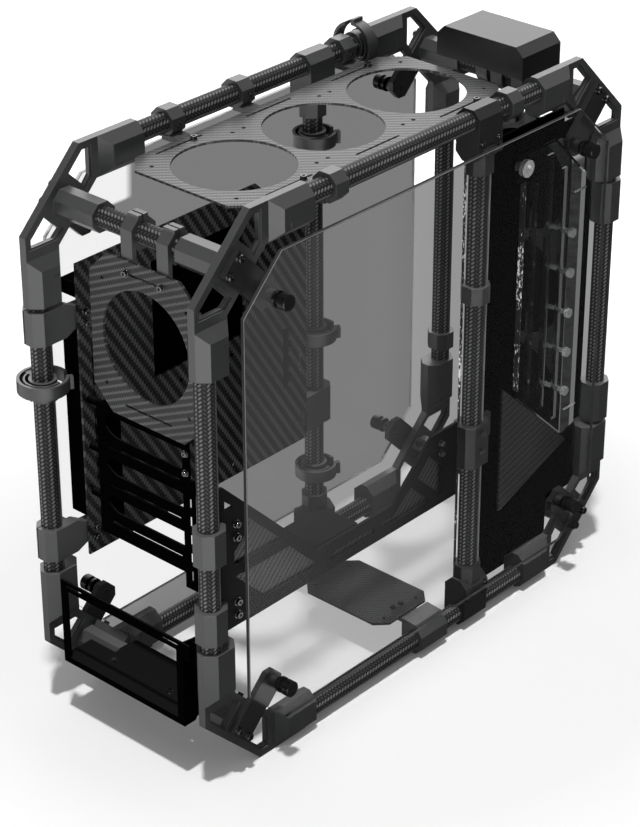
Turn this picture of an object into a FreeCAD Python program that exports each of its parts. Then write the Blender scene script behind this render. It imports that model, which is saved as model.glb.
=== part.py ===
import FreeCAD, Part
import math
import os

# Open air test bench: carbon tube frame with moulded corners, dark glass sides and bare mounting plates.
# Units are mm. X is the width, Y the depth (front at -Y), Z up. The origin is under the middle, on the floor.

V = FreeCAD.Vector
os.makedirs("parts", exist_ok=True)

# Frame size
HEIGHT = 575.0
HALF_DEPTH = 304.5
RING_R = 24.5
TUBE_X = 105.0
TUBE_R = 10.0
TUBE_WALL = 1.5
MID_Y = 81.5
FOOT = 2.5
FIT = 0.05

# Corner brackets, measured inwards from the outer faces
RIM_T = 8.0
CHAMFER = 70.0
RIM_W = 40.0
RIM_DIAG = 130.0
RIM_END = 100.0
SOCKET_START = 93.0
SOCKET_FULL = 103.0
SOCKET_END = 142.0
SOCKET_TOP_UP = 140.0
SOCKET_LOW_UP = 150.0
SOCKET_W = 14.0
SOCKET_FLAT = 4.0
AXIS_V = 14.5
CROSS_UV = 50.0
BOSS_AF = 28.0
BOSS_END = 54.0
BRIDGE_SCREW = 9.0

# Glass and its holders
GLASS_X = 122.0
GLASS_T = 4.0
GLASS_Y = 261.0
GLASS_Z0 = 45.2
GLASS_Z1 = 533.0
GLASS_CH = 48.3
ARM_T = 6.0
ARM_W = 14.0
KNOB_UV = 84.5
KNOB_R = 8.0

# Top fan plate
FAN_PITCH = 120.0
FAN_HOLES = 52.5
FAN_R = 58.0
TOP_X0 = -80.0
TOP_X1 = 76.0
TOP_CX = -1.5
TOP_Y0 = -207.0
TOP_Y1 = 171.0
TOP_Z = 549.5
PLATE_T = 2.5
TOP_FIRST = -138.0

# Front fan plate and slot bracket
IO_Y = -272.0
IO_X0 = -54.5
IO_X1 = 83.0
IO_Z0 = 342.0
IO_Z1 = 502.5
IO_CX = 14.5
IO_CZ = 423.0
IO_R = 54.5
SLOT_PITCH = 40.64

# Board tray
TRAY_X = -91.0
TRAY_T = 2.5
TRAY_Y0 = -257.5
TRAY_Y1 = 52.0
TRAY_Z0 = 157.5
TRAY_Z1 = 467.5

# Side skirt
SKIRT_X = 103.5
SKIRT_T = 3.0

# Clamp heights on the uprights
NEAR_FRONT_Z = (263.5, 180.5)
FAR_FRONT_Z = (413.5, 183.0)
NEAR_REAR_Z = (408.0, 178.0)

# Screws
HEAD_R = 3.4
HEAD_H = 3.4


def box(x0, x1, y0, y1, z0, z1):
    return Part.makeBox(x1 - x0, y1 - y0, z1 - z0, V(x0, y0, z0))


def wire(points):
    vs = [V(*p) for p in points]
    vs.append(vs[0])
    return Part.makePolygon(vs)


def prism_x(yz, x0, x1):
    return Part.Face(wire([(x0, y, z) for y, z in yz])).extrude(V(x1 - x0, 0, 0))


def prism_y(xz, y0, y1):
    return Part.Face(wire([(x, y0, z) for x, z in xz])).extrude(V(0, y1 - y0, 0))


def prism_z(xy, z0, z1):
    return Part.Face(wire([(x, y, z0) for x, y in xy])).extrude(V(0, 0, z1 - z0))


def cyl(r, length, at, axis):
    return Part.makeCylinder(r, length, V(*at), V(*axis))


def cut_all(base, tools):
    for t in tools:
        base = base.cut(t)
    return base


def fuse_all(shapes):
    out = shapes[0]
    for s in shapes[1:]:
        out = out.fuse(s)
    return out.removeSplitter()


def save(name, shape):
    # The front cable ring stands proud of the frame, so all is moved back by half of that
    shape = Part.makeCompound(shape) if isinstance(shape, list) else shape.copy()
    shape.translate(V(0, (RING_R - AXIS_V) / 2.0, 0))
    shape.exportStep("parts/%s.step" % name)


def chamfered(a0, a1, b0, b1, c):
    return [(a0 + c, b0), (a1 - c, b0), (a1, b0 + c), (a1, b1 - c),
            (a1 - c, b1), (a0 + c, b1), (a0, b1 - c), (a0, b0 + c)]


def scaled(points, k):
    ca = sum(p[0] for p in points) / len(points)
    cb = sum(p[1] for p in points) / len(points)
    return [(ca + (a - ca) * k, cb + (b - cb) * k) for a, b in points]


def slot_z(x0, x1, y0, y1, z0, z1):
    # Rounded slot through a horizontal plate, long in Y
    r = (x1 - x0) / 2.0
    c = (x0 + x1) / 2.0
    s = box(x0, x1, y0 + r, y1 - r, z0, z1)
    for y in (y0 + r, y1 - r):
        s = s.fuse(cyl(r, z1 - z0, (c, y, z0), (0, 0, 1)))
    return s


def screw(at, axis, r=HEAD_R, h=HEAD_H):
    # Socket head with a thin washer, standing on the surface point
    a = V(*axis)
    a.normalize()
    p = V(*at)
    washer = Part.makeCylinder(r * 1.25, 0.5, p, a)
    head = Part.makeCylinder(r, h, p + a * 0.5, a)
    edges = [e for e in head.Edges if len(e.Vertexes) == 1 and (e.Vertexes[0].Point - p).dot(a) > h]
    if edges:
        head = head.makeChamfer(0.4, edges)
    recess = Part.makeCylinder(r * 0.46, h * 0.6, p + a * (0.5 + h * 0.45), a)
    return washer.fuse(head.cut(recess)).removeSplitter()


# Corner brackets in local axes: X across the rim, Y inwards along the depth, Z inwards along the height

WINDOW = [(82.5, 8.0), (74.7, 8.0), (57.4, 25.6), (75.6, 43.3), (82.5, 35.3)]


def swap(points):
    return [(b, a) for a, b in points]


def socket_section(pad):
    w = SOCKET_W
    f = SOCKET_FLAT
    return [(-f, 0), (f, 0), (w, 9), (w, 31), (f, RIM_W + pad), (-f, RIM_W + pad), (-w, 31), (-w, 9)]


def taper(end):
    f = SOCKET_FLAT
    w = SOCKET_W
    return [(-f, SOCKET_START), (f, SOCKET_START), (w, SOCKET_FULL), (w, end), (-w, end), (-w, SOCKET_FULL)]


def bracket(foot, up_end):
    h = RIM_T / 2.0
    c = CHAMFER
    skid = SOCKET_END - 6.0 if foot > 0 else RIM_END
    outline = [(c + foot, -foot), (skid, -foot), (skid, RIM_W - 20), (RIM_END, RIM_W - 15),
               (RIM_END, RIM_W), (RIM_DIAG - RIM_W, RIM_W), (RIM_W, RIM_DIAG - RIM_W),
               (RIM_W, RIM_END), (0, RIM_END), (0, c)]
    rim = prism_x(outline, -h, h)
    for win in (WINDOW, swap(WINDOW)):
        rim = rim.cut(prism_x(win, -h - 1, h + 1))
        rim = rim.cut(prism_x(scaled(win, 1.2), h - 1.6, h + 1))
        rim = rim.cut(prism_x(scaled(win, 1.2), -h - 1, -h + 1.6))
    side = prism_y(socket_section(0), SOCKET_START, SOCKET_END)
    side = side.common(prism_z(taper(SOCKET_END), -1, RIM_W + 1))
    up = prism_z(socket_section(0), SOCKET_START, up_end)
    up = up.common(prism_y(taper(up_end), -1, RIM_W + 1))
    boss = prism_x(chamfered(CROSS_UV - BOSS_AF / 2, CROSS_UV + BOSS_AF / 2, CROSS_UV - BOSS_AF / 2,
                             CROSS_UV + BOSS_AF / 2, BOSS_AF * 0.293), -BOSS_END, -h + 0.5)
    lug = box(-BOSS_END + 4, -h - 3, CROSS_UV + 8, CROSS_UV + 21, CROSS_UV - 6.5, CROSS_UV + 6.5)
    lug = lug.cut(box(-BOSS_END, 0, CROSS_UV + 14.5, CROSS_UV + 22, CROSS_UV - 0.7, CROSS_UV + 0.7))
    lug.rotate(V(0, CROSS_UV, CROSS_UV), V(1, 0, 0), 45)
    body = fuse_all([rim, side, up, boss, lug])
    bores = [cyl(TUBE_R + FIT, 60, (0, SOCKET_FULL, AXIS_V), (0, 1, 0)),
             cyl(TUBE_R + FIT, 60, (0, AXIS_V, SOCKET_FULL), (0, 0, 1)),
             cyl(TUBE_R + FIT, BOSS_END - RIM_T, (-BOSS_END - 1, CROSS_UV, CROSS_UV), (1, 0, 0))]
    body = cut_all(body, bores)
    seam = 0.8
    slits = []
    for s in (-1, 1):
        slits.append(box(s * SOCKET_W - 0.6, s * SOCKET_W + 0.6, 24, 34, SOCKET_FULL + 8, SOCKET_FULL + 8 + seam))
        slits.append(box(s * SOCKET_W - 0.6, s * SOCKET_W + 0.6, SOCKET_FULL + 8, SOCKET_FULL + 8 + seam, 24, 34))
    return cut_all(body, slits)


def place(shape, side, front, top):
    s = shape.copy()
    if top:
        s = s.mirror(V(0, 0, 0), V(0, 0, 1))
        s.translate(V(0, 0, HEIGHT))
    else:
        s.translate(V(0, 0, FOOT))
    if front:
        s.translate(V(TUBE_X, -HALF_DEPTH, 0))
    else:
        s = s.mirror(V(0, 0, 0), V(0, 1, 0))
        s.translate(V(TUBE_X, HALF_DEPTH, 0))
    if side < 0:
        s = s.mirror(V(0, 0, 0), V(1, 0, 0))
    return s


def diag(points):
    # (along the diagonal, across it) to (u, v)
    r = math.sqrt(0.5)
    return [((s + t) * r, (s - t) * r) for s, t in points]


def holder_arm():
    h = RIM_T / 2.0
    tip = KNOB_UV * math.sqrt(2) + 9
    pts = diag([(57, -ARM_W), (57, ARM_W), (tip - 7, ARM_W), (tip, ARM_W - 7), (tip, -ARM_W + 7), (tip - 7, -ARM_W)])
    arm = prism_x(pts, h, h + ARM_T)
    arm = arm.cut(cyl(3.2, 20, (h - 5, KNOB_UV, KNOB_UV), (1, 0, 0)))
    stand = cyl(6.5, GLASS_X - TUBE_X - h - ARM_T, (h + ARM_T, KNOB_UV, KNOB_UV), (1, 0, 0))
    stand = stand.cut(cyl(3.2, 30, (h, KNOB_UV, KNOB_UV), (1, 0, 0)))
    return fuse_all([arm, stand])


def knob():
    x = GLASS_X + GLASS_T - TUBE_X
    out = fuse_all([cyl(KNOB_R, 3, (x, KNOB_UV, KNOB_UV), (1, 0, 0)),
                    cyl(5.5, 4, (x + 3, KNOB_UV, KNOB_UV), (1, 0, 0)),
                    cyl(KNOB_R, 8, (x + 7, KNOB_UV, KNOB_UV), (1, 0, 0)),
                    cyl(3.0, x - 4, (4.5, KNOB_UV, KNOB_UV), (1, 0, 0))])
    rim = [e for e in out.Edges if len(e.Vertexes) == 1 and e.Vertexes[0].Point.x > x + 14.9]
    return out.makeChamfer(0.8, rim) if rim else out


def bridge_screws():
    r = math.sqrt(0.5)
    out = []
    for t in (-BRIDGE_SCREW, BRIDGE_SCREW):
        out.append(screw((RIM_T / 2 + ARM_T, CROSS_UV - 6 + t * r, CROSS_UV - 6 - t * r), (1, 0, 0), 3.8, 3.6))
    d = 21.0
    for x in (-BOSS_END + 12, -RIM_T / 2 - 10):
        out.append(screw((x, CROSS_UV + d * r, CROSS_UV + d * r), (0, 1, 1), 2.8, 2.6))
    return out


top_bracket = bracket(0.0, SOCKET_TOP_UP)
low_bracket = bracket(FOOT, SOCKET_LOW_UP)
arm = holder_arm()
thumb = knob()
chrome = bridge_screws()
arms = []
knobs = []
screws = []
for side, sname in ((1, "near"), (-1, "far")):
    for front, fname in ((True, "front"), (False, "rear")):
        for top, tname in ((True, "top"), (False, "bottom")):
            save("bracket_%s_%s_%s" % (sname, fname, tname),
                 place(top_bracket if top else low_bracket, side, front, top))
            arms.append(place(arm, side, front, top))
            knobs.append(place(thumb, side, front, top))
            screws += [place(c, side, front, top) for c in chrome]
save("holder_arms", arms)
save("thumb_knobs", knobs)

# Tubes
TOP_AXIS_Z = HEIGHT - AXIS_V
LOW_AXIS_Z = FOOT + AXIS_V
UP_Y = HALF_DEPTH - AXIS_V
CROSS_Y = HALF_DEPTH - CROSS_UV


def tube(at, axis, length):
    return cyl(TUBE_R, length, at, axis).cut(cyl(TUBE_R - TUBE_WALL, length, at, axis))


half = HALF_DEPTH - SOCKET_FULL
for side, sname in ((1, "near"), (-1, "far")):
    x = side * TUBE_X
    save("tube_%s_top" % sname, tube((x, -half, TOP_AXIS_Z), (0, 1, 0), 2 * half))
    save("tube_%s_bottom" % sname, tube((x, -half, LOW_AXIS_Z), (0, 1, 0), 2 * half))
    z0 = FOOT + SOCKET_FULL
    z1 = HEIGHT - SOCKET_FULL
    for sy, fname in ((-1, "front"), (1, "rear")):
        save("upright_%s_%s" % (sname, fname), tube((x, sy * UP_Y, z0), (0, 0, 1), z1 - z0))
    z0 = LOW_AXIS_Z + TUBE_R + 3
    z1 = TOP_AXIS_Z - TUBE_R - 3
    save("upright_%s_middle" % sname, tube((x, MID_Y, z0), (0, 0, 1), z1 - z0))
reach = TUBE_X - RIM_T - 2
for sy, fname in ((-1, "front"), (1, "rear")):
    for z, tname in ((HEIGHT - CROSS_UV, "top"), (FOOT + CROSS_UV, "bottom")):
        save("cross_tube_%s_%s" % (fname, tname), tube((-reach, sy * CROSS_Y, z), (1, 0, 0), 2 * reach))

# Tee joints of the middle uprights
TEE_HALF = 17.5


def tee(side, top):
    x0 = TUBE_X - SOCKET_W
    x1 = TUBE_X + SOCKET_W
    y0 = MID_Y - TEE_HALF
    y1 = MID_Y + TEE_HALF
    body = prism_y(chamfered(x0, x1, 4.5, 57.5, 8), y0, y1)
    collar = prism_z(chamfered(x0 + 1.5, x1 - 1.5, y0 + 3, y1 - 3, 8), 50, 72)
    body = fuse_all([body, collar])
    body = body.cut(cyl(TUBE_R + FIT, 60, (TUBE_X, y0 - 5, LOW_AXIS_Z), (0, 1, 0)))
    body = body.cut(cyl(TUBE_R + FIT, 80, (TUBE_X, MID_Y, LOW_AXIS_Z + TUBE_R + 3), (0, 0, 1)))
    body = body.cut(box(x1 - 0.8, x1 + 1, y0 - 1, y1 + 1, 41.2, 42.0))
    body = body.cut(box(x0 - 1, x0 + 0.8, y0 - 1, y1 + 1, 41.2, 42.0))
    if top:
        body = body.mirror(V(0, 0, 0), V(0, 0, 1))
        body.translate(V(0, 0, TOP_AXIS_Z + LOW_AXIS_Z))
    if side < 0:
        body = body.mirror(V(0, 0, 0), V(1, 0, 0))
    return body


for side, sname in ((1, "near"), (-1, "far")):
    for top, tname in ((True, "top"), (False, "bottom")):
        save("tee_%s_%s" % (sname, tname), tee(side, top))
        for z in (36.5, 47.3):
            zz = TOP_AXIS_Z + LOW_AXIS_Z - z if top else z
            for y in (-TEE_HALF + 5, TEE_HALF - 5):
                screws.append(screw((side * (TUBE_X + SOCKET_W), MID_Y + y, zz), (side, 0, 0), 2.8, 1.9))


# Clamp blocks on the corner uprights
def front_clamp(zc):
    x0 = TUBE_X - SOCKET_W
    x1 = TUBE_X + SOCKET_W
    b = prism_z(chamfered(x0, x1, -HALF_DEPTH, -HALF_DEPTH + 30.5, 8), zc - 17.5, zc + 17.5)
    ear = box(SKIRT_X - 4.5, SKIRT_X, -HALF_DEPTH + 26, -HALF_DEPTH + 53.3, zc - 11, zc + 14.5)
    b = fuse_all([b, ear])
    b = b.cut(cyl(TUBE_R + FIT, 60, (TUBE_X, -UP_Y, zc - 30), (0, 0, 1)))
    return b.cut(box(x0 - 1, x0 + 5, -UP_Y - 0.5, -UP_Y + 0.5, zc - 20, zc + 20))


for z in NEAR_FRONT_Z:
    for dz in (-7, 7):
        screws.append(screw((SKIRT_X + SKIRT_T, -256.0, z + 1 + dz), (1, 0, 0)))

REAR_COVER_X = 88.0
REAR_COVER_T = 3.0


def rear_clamp(zc):
    x0 = TUBE_X - SOCKET_W
    x1 = TUBE_X + SOCKET_W
    b = prism_z(chamfered(x0, x1, UP_Y - 16, HALF_DEPTH, 8), zc - 22, zc + 22)
    return b.cut(cyl(TUBE_R + FIT, 60, (TUBE_X, UP_Y, zc - 30), (0, 0, 1)))


save("near_upright_clamps", [front_clamp(z) for z in NEAR_FRONT_Z] + [rear_clamp(z) for z in NEAR_REAR_Z])


def far_front_clamp(zc):
    x0 = -TUBE_X - SOCKET_W
    b = prism_z([(x0 + 8, -HALF_DEPTH), (TRAY_X - 8, -HALF_DEPTH), (TRAY_X, -HALF_DEPTH + 8),
                 (TRAY_X, -HALF_DEPTH + 66), (TRAY_X - 9, -HALF_DEPTH + 66), (TRAY_X - 12, -HALF_DEPTH + 31),
                 (x0 + 8, -HALF_DEPTH + 31), (x0, -HALF_DEPTH + 23), (x0, -HALF_DEPTH + 8)], zc - 17, zc + 17)
    y = -HALF_DEPTH
    keep = prism_x([(y - 1, zc - 18), (y + 32, zc - 18), (y + 46, zc - 12), (y + 67, zc - 12),
                    (y + 67, zc + 11), (y + 46, zc + 11), (y + 34, zc + 18), (y - 1, zc + 18)], x0 - 1, TRAY_X + 1)
    b = b.common(keep)
    b = b.cut(cyl(TUBE_R + FIT, 60, (-TUBE_X, -UP_Y, zc - 30), (0, 0, 1)))
    return b.cut(box(x0 + 9, x0 + 10, y - 1, -UP_Y, zc - 20, zc + 20))


save("far_front_clamps", [far_front_clamp(z) for z in FAR_FRONT_Z])
for z in FAR_FRONT_Z:
    for dz in (-6, 6):
        screws.append(screw((TRAY_X + TRAY_T, -248.0, z - 3 + dz), (1, 0, 0)))


def middle_clamp_near():
    x0 = TUBE_X - SOCKET_W
    x1 = TUBE_X + SOCKET_W
    b = prism_z(chamfered(x0, x1, MID_Y - TEE_HALF, MID_Y + TEE_HALF, 7), 190, 236)
    ear = box(SKIRT_X - 4.5, SKIRT_X, 27, MID_Y, 217.5, 236)
    back = box(REAR_COVER_X + REAR_COVER_T, REAR_COVER_X + REAR_COVER_T + 5, MID_Y, 124, 200, 226)
    b = fuse_all([b, ear, back])
    return b.cut(cyl(TUBE_R + FIT, 80, (TUBE_X, MID_Y, 180), (0, 0, 1)))


save("clamp_near_middle", middle_clamp_near())
for z in (220.5, 232.0):
    screws.append(screw((SKIRT_X + SKIRT_T, 33.0, z), (1, 0, 0), 2.8, 3.0))
    screws.append(screw((TUBE_X + SOCKET_W, MID_Y, z - 14 if z < 225 else z - 5), (1, 0, 0), 3.0, 2.0))


def middle_clamp_far():
    x0 = -TUBE_X - SOCKET_W
    b = prism_z([(x0 + 7, MID_Y - 14), (TRAY_X - 9, MID_Y - 14), (TRAY_X - 9, 38), (TRAY_X, 38),
                 (TRAY_X, MID_Y + 10), (TRAY_X - 7, MID_Y + 17), (x0 + 7, MID_Y + 17), (x0, MID_Y + 10),
                 (x0, MID_Y - 7)], 161, 201)
    return b.cut(cyl(TUBE_R + FIT, 80, (-TUBE_X, MID_Y, 150), (0, 0, 1)))


save("clamp_far_middle", middle_clamp_far())
for z in (176.5, 188.5):
    screws.append(screw((TRAY_X + TRAY_T, 45.5, z), (1, 0, 0)))


def collar(x, y, z0, z1):
    a = 13.5
    b = prism_z(chamfered(x - a, x + a, y - a, y + a, 7.5), z0, z1)
    return b.cut(cyl(TUBE_R + FIT, 100, (x, y, z0 - 10), (0, 0, 1)))


save("tube_collars", [collar(TUBE_X, MID_Y, 370, 388), collar(-TUBE_X, UP_Y, 167, 186)])


# Snap rings for cables
def cable_ring(x, y, z, dx, dy, rr=RING_R):
    hub = Part.makeCylinder(13.5, 12, V(0, 0, 0)).cut(Part.makeCylinder(TUBE_R + FIT, 12, V(0, 0, 0)))
    mid = Part.makeCylinder(rr - 6, 12, V(0, 0, 0)).cut(Part.makeCylinder(rr - 8, 12, V(0, 0, 0)))
    mid = mid.cut(box(-30, 30, 5, 30, -1, 13))
    outer = Part.makeCylinder(rr, 13, V(0, 0, 0)).cut(Part.makeCylinder(rr - 3, 13, V(0, 0, 0)))
    notch = box(16, 30, -4, 4, -1, 14)
    notch.rotate(V(0, 0, 0), V(0, 0, 1), 62)
    outer = outer.cut(notch)
    lip = box(rr - 1, rr + 2.5, -9, -4, 0, 13)
    lip.rotate(V(0, 0, 0), V(0, 0, 1), 62)
    spoke = box(-rr + 1.5, -12, -3.5, 3.5, 0, 12)
    sp2 = box(-rr + 1.5, -12, -3.5, 3.5, 0, 3)
    sp2.rotate(V(0, 0, 0), V(0, 0, 1), 90)
    around = [mid, outer, lip, spoke, sp2]
    for s in around:
        s.translate(V(dx, dy, 0))
    ring = fuse_all([hub] + around)
    ring = ring.cut(Part.makeCylinder(TUBE_R + FIT, 30, V(0, 0, -10)))
    foot = Part.makeCylinder(14.5, 8, V(0, 0, -8)).cut(Part.makeCylinder(TUBE_R + FIT, 8, V(0, 0, -8)))
    foot = foot.cut(box(-1.2, 1.2, -20, 0, -9, 1))
    ring = fuse_all([ring, foot])
    ring.translate(V(x, y, z))
    return ring


# The rings of the middle upright sit off centre, clear of the glass
RING_MID_R = 22.0
RING_IN = RING_MID_R + TUBE_X - GLASS_X + 0.8
rings = [cable_ring(-TUBE_X, -UP_Y, 346.0, 0, 0)]
for z in (477.0, 260.0, 98.0):
    rings.append(cable_ring(-TUBE_X, MID_Y, z, RING_IN, -4.0, RING_MID_R))
along = cable_ring(0, 0, 0, 0, 0)
along.rotate(V(0, 0, 0), V(1, 0, 0), 90)
along.rotate(V(0, 0, 0), V(0, 1, 0), -40)
along.translate(V(-TUBE_X, 152.0, TOP_AXIS_Z))
rings.append(along)
save("cable_rings", rings)

# Top fan plate
plate = prism_z(chamfered(TOP_X0, TOP_X1, TOP_Y0, TOP_Y1, 21), TOP_Z, TOP_Z + PLATE_T)
holes = []
for i in range(3):
    cy = TOP_FIRST + i * FAN_PITCH
    holes.append(cyl(FAN_R, 20, (TOP_CX, cy, TOP_Z - 5), (0, 0, 1)))
    for dx in (-FAN_HOLES, FAN_HOLES):
        for dy in (-FAN_HOLES, FAN_HOLES):
            holes.append(cyl(2.1, 20, (TOP_CX + dx, cy + dy, TOP_Z - 5), (0, 0, 1)))
    for xc in (-71.0, 65.5):
        holes.append(slot_z(xc - 1.3, xc + 1.3, cy - 30.5, cy + 30.5, TOP_Z - 5, TOP_Z + 5))
plate = cut_all(plate, holes)
save("top_fan_plate", plate)


def top_clamp(side, yc, xs, ys):
    a = SOCKET_W
    x = side * TUBE_X
    b = prism_y(chamfered(x - a, x + a, TOP_AXIS_Z - a, TOP_AXIS_Z + a, 8), yc - 8.5, yc + 8.5)
    x_in = xs - 3 * side
    ear = box(min(x, x_in), max(x, x_in), min(yc, ys) - 8.5, max(yc, ys) + 8.5, TOP_Z - 5, TOP_Z)
    b = fuse_all([b, ear])
    b = b.cut(cyl(TUBE_R + FIT, 60, (x, yc - 30, TOP_AXIS_Z), (0, 1, 0)))
    return b.cut(box(x - 0.5, x + 0.5, yc - 10, yc + 10, TOP_AXIS_Z - a - 1, TOP_AXIS_Z - TUBE_R + 1))


TOP_CLAMPS = ((-1, -118.0, -71.0, -119.0), (-1, -24.0, -71.0, -24.0), (-1, 122.0, -71.0, 126.0),
              (1, -127.0, 65.5, -119.0), (1, 122.0, 65.5, 126.0))
save("top_plate_clamps", [top_clamp(*c) for c in TOP_CLAMPS])
for side, yc, xs, ys in TOP_CLAMPS:
    if yc != -24.0:
        screws.append(screw((xs, ys, TOP_Z + PLATE_T), (0, 0, 1), 3.4, 2.6))
    screws.append(screw((side * (TUBE_X - SOCKET_W), yc, TOP_AXIS_Z), (-side, 0, 0), 2.4, 2.0))

# Front fan plate on two hangers
io = prism_y(chamfered(IO_X0, IO_X1, IO_Z0, IO_Z1, 23), IO_Y, IO_Y + PLATE_T)
io = io.cut(cyl(IO_R, 20, (IO_CX, IO_Y - 5, IO_CZ), (0, 1, 0)))
for dx in (-FAN_HOLES, FAN_HOLES):
    for dz in (-FAN_HOLES, FAN_HOLES):
        io = io.cut(cyl(2.1, 20, (IO_CX + dx, IO_Y - 5, IO_CZ + dz), (0, 1, 0)))
io = io.cut(box(IO_CX - 23, IO_CX + 23, IO_Y - 5, IO_Y + 5, 488.8, 491.2))
io = io.cut(box(IO_CX - 30, IO_CX + 30, IO_Y - 5, IO_Y + 5, 354.0, 356.4))
save("front_fan_plate", io)

CROSS_TOP_Z = HEIGHT - CROSS_UV
CROSS_LOW_Z = FOOT + CROSS_UV
HANG_X = (-7.5, 37.0)
HANG_W = 14.0
HANG_AF = -IO_Y - PLATE_T - CROSS_Y
HANG_STRAP = 5.0


def hanger(xc, sy, sz, z_tube, z_end):
    # Split octagonal ring on a cross tube with a strap flush with its outer flat; sz is the side the strap leaves on
    x0 = xc - HANG_W / 2
    x1 = xc + HANG_W / 2
    ring = prism_x(chamfered(-HANG_AF, HANG_AF, -HANG_AF, HANG_AF, HANG_AF * 0.586), x0, x1)
    reach = abs(z_end - z_tube)
    strap = box(x0, x1, HANG_AF - HANG_STRAP, HANG_AF, -reach, 0)
    nub = box(x0, x1, -6, 6, HANG_AF - 2, HANG_AF + 3)
    h = fuse_all([ring, strap, nub])
    h = h.cut(cyl(TUBE_R + FIT, 40, (xc - 20, 0, 0), (1, 0, 0)))
    h = h.cut(box(x0 - 1, x1 + 1, -0.8, 0.8, 5, HANG_AF + 5))
    if sz > 0:
        h = h.mirror(V(0, 0, 0), V(0, 0, 1))
    if sy < 0:
        h = h.mirror(V(0, 0, 0), V(0, 1, 0))
    h.translate(V(0, sy * CROSS_Y, z_tube))
    return h


hangers = []
for xc in HANG_X:
    hangers.append(hanger(xc, -1, -1, CROSS_TOP_Z, 481.0))
    screws.append(screw((xc, IO_Y, 490.0), (0, -1, 0), 3.2, 2.8))

# Rear fan plate with three openings on four hangers, and a filter sheet on its outer face
REAR_Y = -IO_Y - PLATE_T
REAR_FAN_Z = (408.8, 288.8, 168.8)
REAR_X0 = IO_CX - 57.0
REAR_X1 = IO_CX + 57.0
REAR_Z0 = 92.0
REAR_Z1 = 482.0
FILTER_T = 1.2
rear_fan = prism_y(chamfered(REAR_X0, REAR_X1, REAR_Z0, REAR_Z1, 10), REAR_Y, REAR_Y + PLATE_T)
for z in REAR_FAN_Z:
    rear_fan = rear_fan.cut(cyl(IO_R, 20, (IO_CX, REAR_Y - 5, z), (0, 1, 0)))
    for dx in (-FAN_HOLES, FAN_HOLES):
        for dz in (-FAN_HOLES, FAN_HOLES):
            rear_fan = rear_fan.cut(cyl(2.1, 20, (IO_CX + dx, REAR_Y - 5, z + dz), (0, 1, 0)))
save("rear_fan_plate", rear_fan)
save("rear_filter", box(REAR_X0, REAR_X1, REAR_Y + PLATE_T, REAR_Y + PLATE_T + FILTER_T, 110.0, 468.0))
for xc in (0.0, 26.0):
    hangers.append(hanger(xc, 1, -1, CROSS_TOP_Z, 470.0))
    screws.append(screw((xc, REAR_Y + PLATE_T, 476.0), (0, 1, 0), 2.8, 2.4))
for xc in (-10.5, 39.5):
    hangers.append(hanger(xc, 1, 1, CROSS_LOW_Z, 107.0))
    screws.append(screw((xc, REAR_Y + PLATE_T, 99.0), (0, 1, 0), 2.8, 2.4))
for dx in (-48.0, 48.0):
    for z in (116.0, 462.0):
        screws.append(screw((IO_CX + dx, REAR_Y + PLATE_T + FILTER_T, z), (0, 1, 0), 2.4, 1.6))
save("hangers", hangers)

# Slot bracket with three double bars and a slotted rail
SLOT_X0 = -57.0
SLOT_X1 = 62.0
SLOT_Y = IO_Y + PLATE_T
slot = box(SLOT_X0, SLOT_X1, SLOT_Y, SLOT_Y + 2, 204.0, 344.0)
slot = slot.fuse(box(54.0, 68.0, SLOT_Y, SLOT_Y + 2, 188.0, 306.0))
slot = slot.fuse(box(SLOT_X0, SLOT_X0 + 2, SLOT_Y, SLOT_Y + 28, 208.0, 340.0)).removeSplitter()
cuts = []
first = 300.5
for i in range(3):
    zc = first - i * SLOT_PITCH
    z_top = 334.0 if i == 0 else zc + SLOT_PITCH - 12.3
    z_low = zc + 12.3
    cuts.append(prism_y([(-33, z_low), (53.5, z_low), (53.5, z_top), (-40, z_top), (-46, z_top - 5),
                         (-46, z_low + 8), (-40, z_low + 3)], SLOT_Y - 5, SLOT_Y + 5))
    cuts.append(box(-44, 50, SLOT_Y - 5, SLOT_Y + 5, zc - 1.2, zc + 1.2))
for i in range(5):
    zc = 281.0 - i * 19.6
    cuts.append(box(60.5, 64.0, SLOT_Y - 5, SLOT_Y + 5, zc - 5.5, zc + 5.5))
slot = cut_all(slot, cuts)
gap = SLOT_X0 - TRAY_X - TRAY_T
posts = [cyl(4.0, gap, (TRAY_X + TRAY_T, -248.0, z), (1, 0, 0)) for z in (225.0, 275.0, 325.0)]
slot = fuse_all([slot] + posts)
save("slot_bracket", slot)
for z in (331.0, 311.0):
    screws.append(screw((58.0, SLOT_Y, z), (0, -1, 0), 2.8, 2.4))

# Board tray with back cover
tray = prism_x([(TRAY_Y0, TRAY_Z0), (TRAY_Y1, TRAY_Z0), (TRAY_Y1, TRAY_Z1 - 70), (TRAY_Y1 - 70, TRAY_Z1),
                (TRAY_Y0 + 0.1, TRAY_Z1)], TRAY_X, TRAY_X + TRAY_T)
cuts = [box(TRAY_X - 5, TRAY_X + 5, -163, -38, 313, 436)]
cuts.append(box(TRAY_X - 5, TRAY_X + 5, 17, 27, 228, 296))
cuts.append(box(TRAY_X - 5, TRAY_X + 5, -243, -240.6, 235, 380))
cuts.append(box(TRAY_X - 5, TRAY_X + 5, 40.5, 43, 238, 271))
for y, z in ((-57, 296.4), (-57, 170), (-200, 205), (-200, 455), (-57, 452), (13, 455), (-128, 296.4)):
    cuts.append(cyl(2.2, 20, (TRAY_X - 10, y, z), (1, 0, 0)))
tray = cut_all(tray, cuts)
save("board_tray", tray)
COVER_X0 = -111.0
COVER_Y0 = -257.0
COVER_Y1 = -30.0
COVER_Z0 = 200.0
COVER_Z1 = 447.0
COVER_WALL = 1.5
cover = box(COVER_X0, TRAY_X, COVER_Y0, COVER_Y1, COVER_Z0, COVER_Z1)
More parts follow.
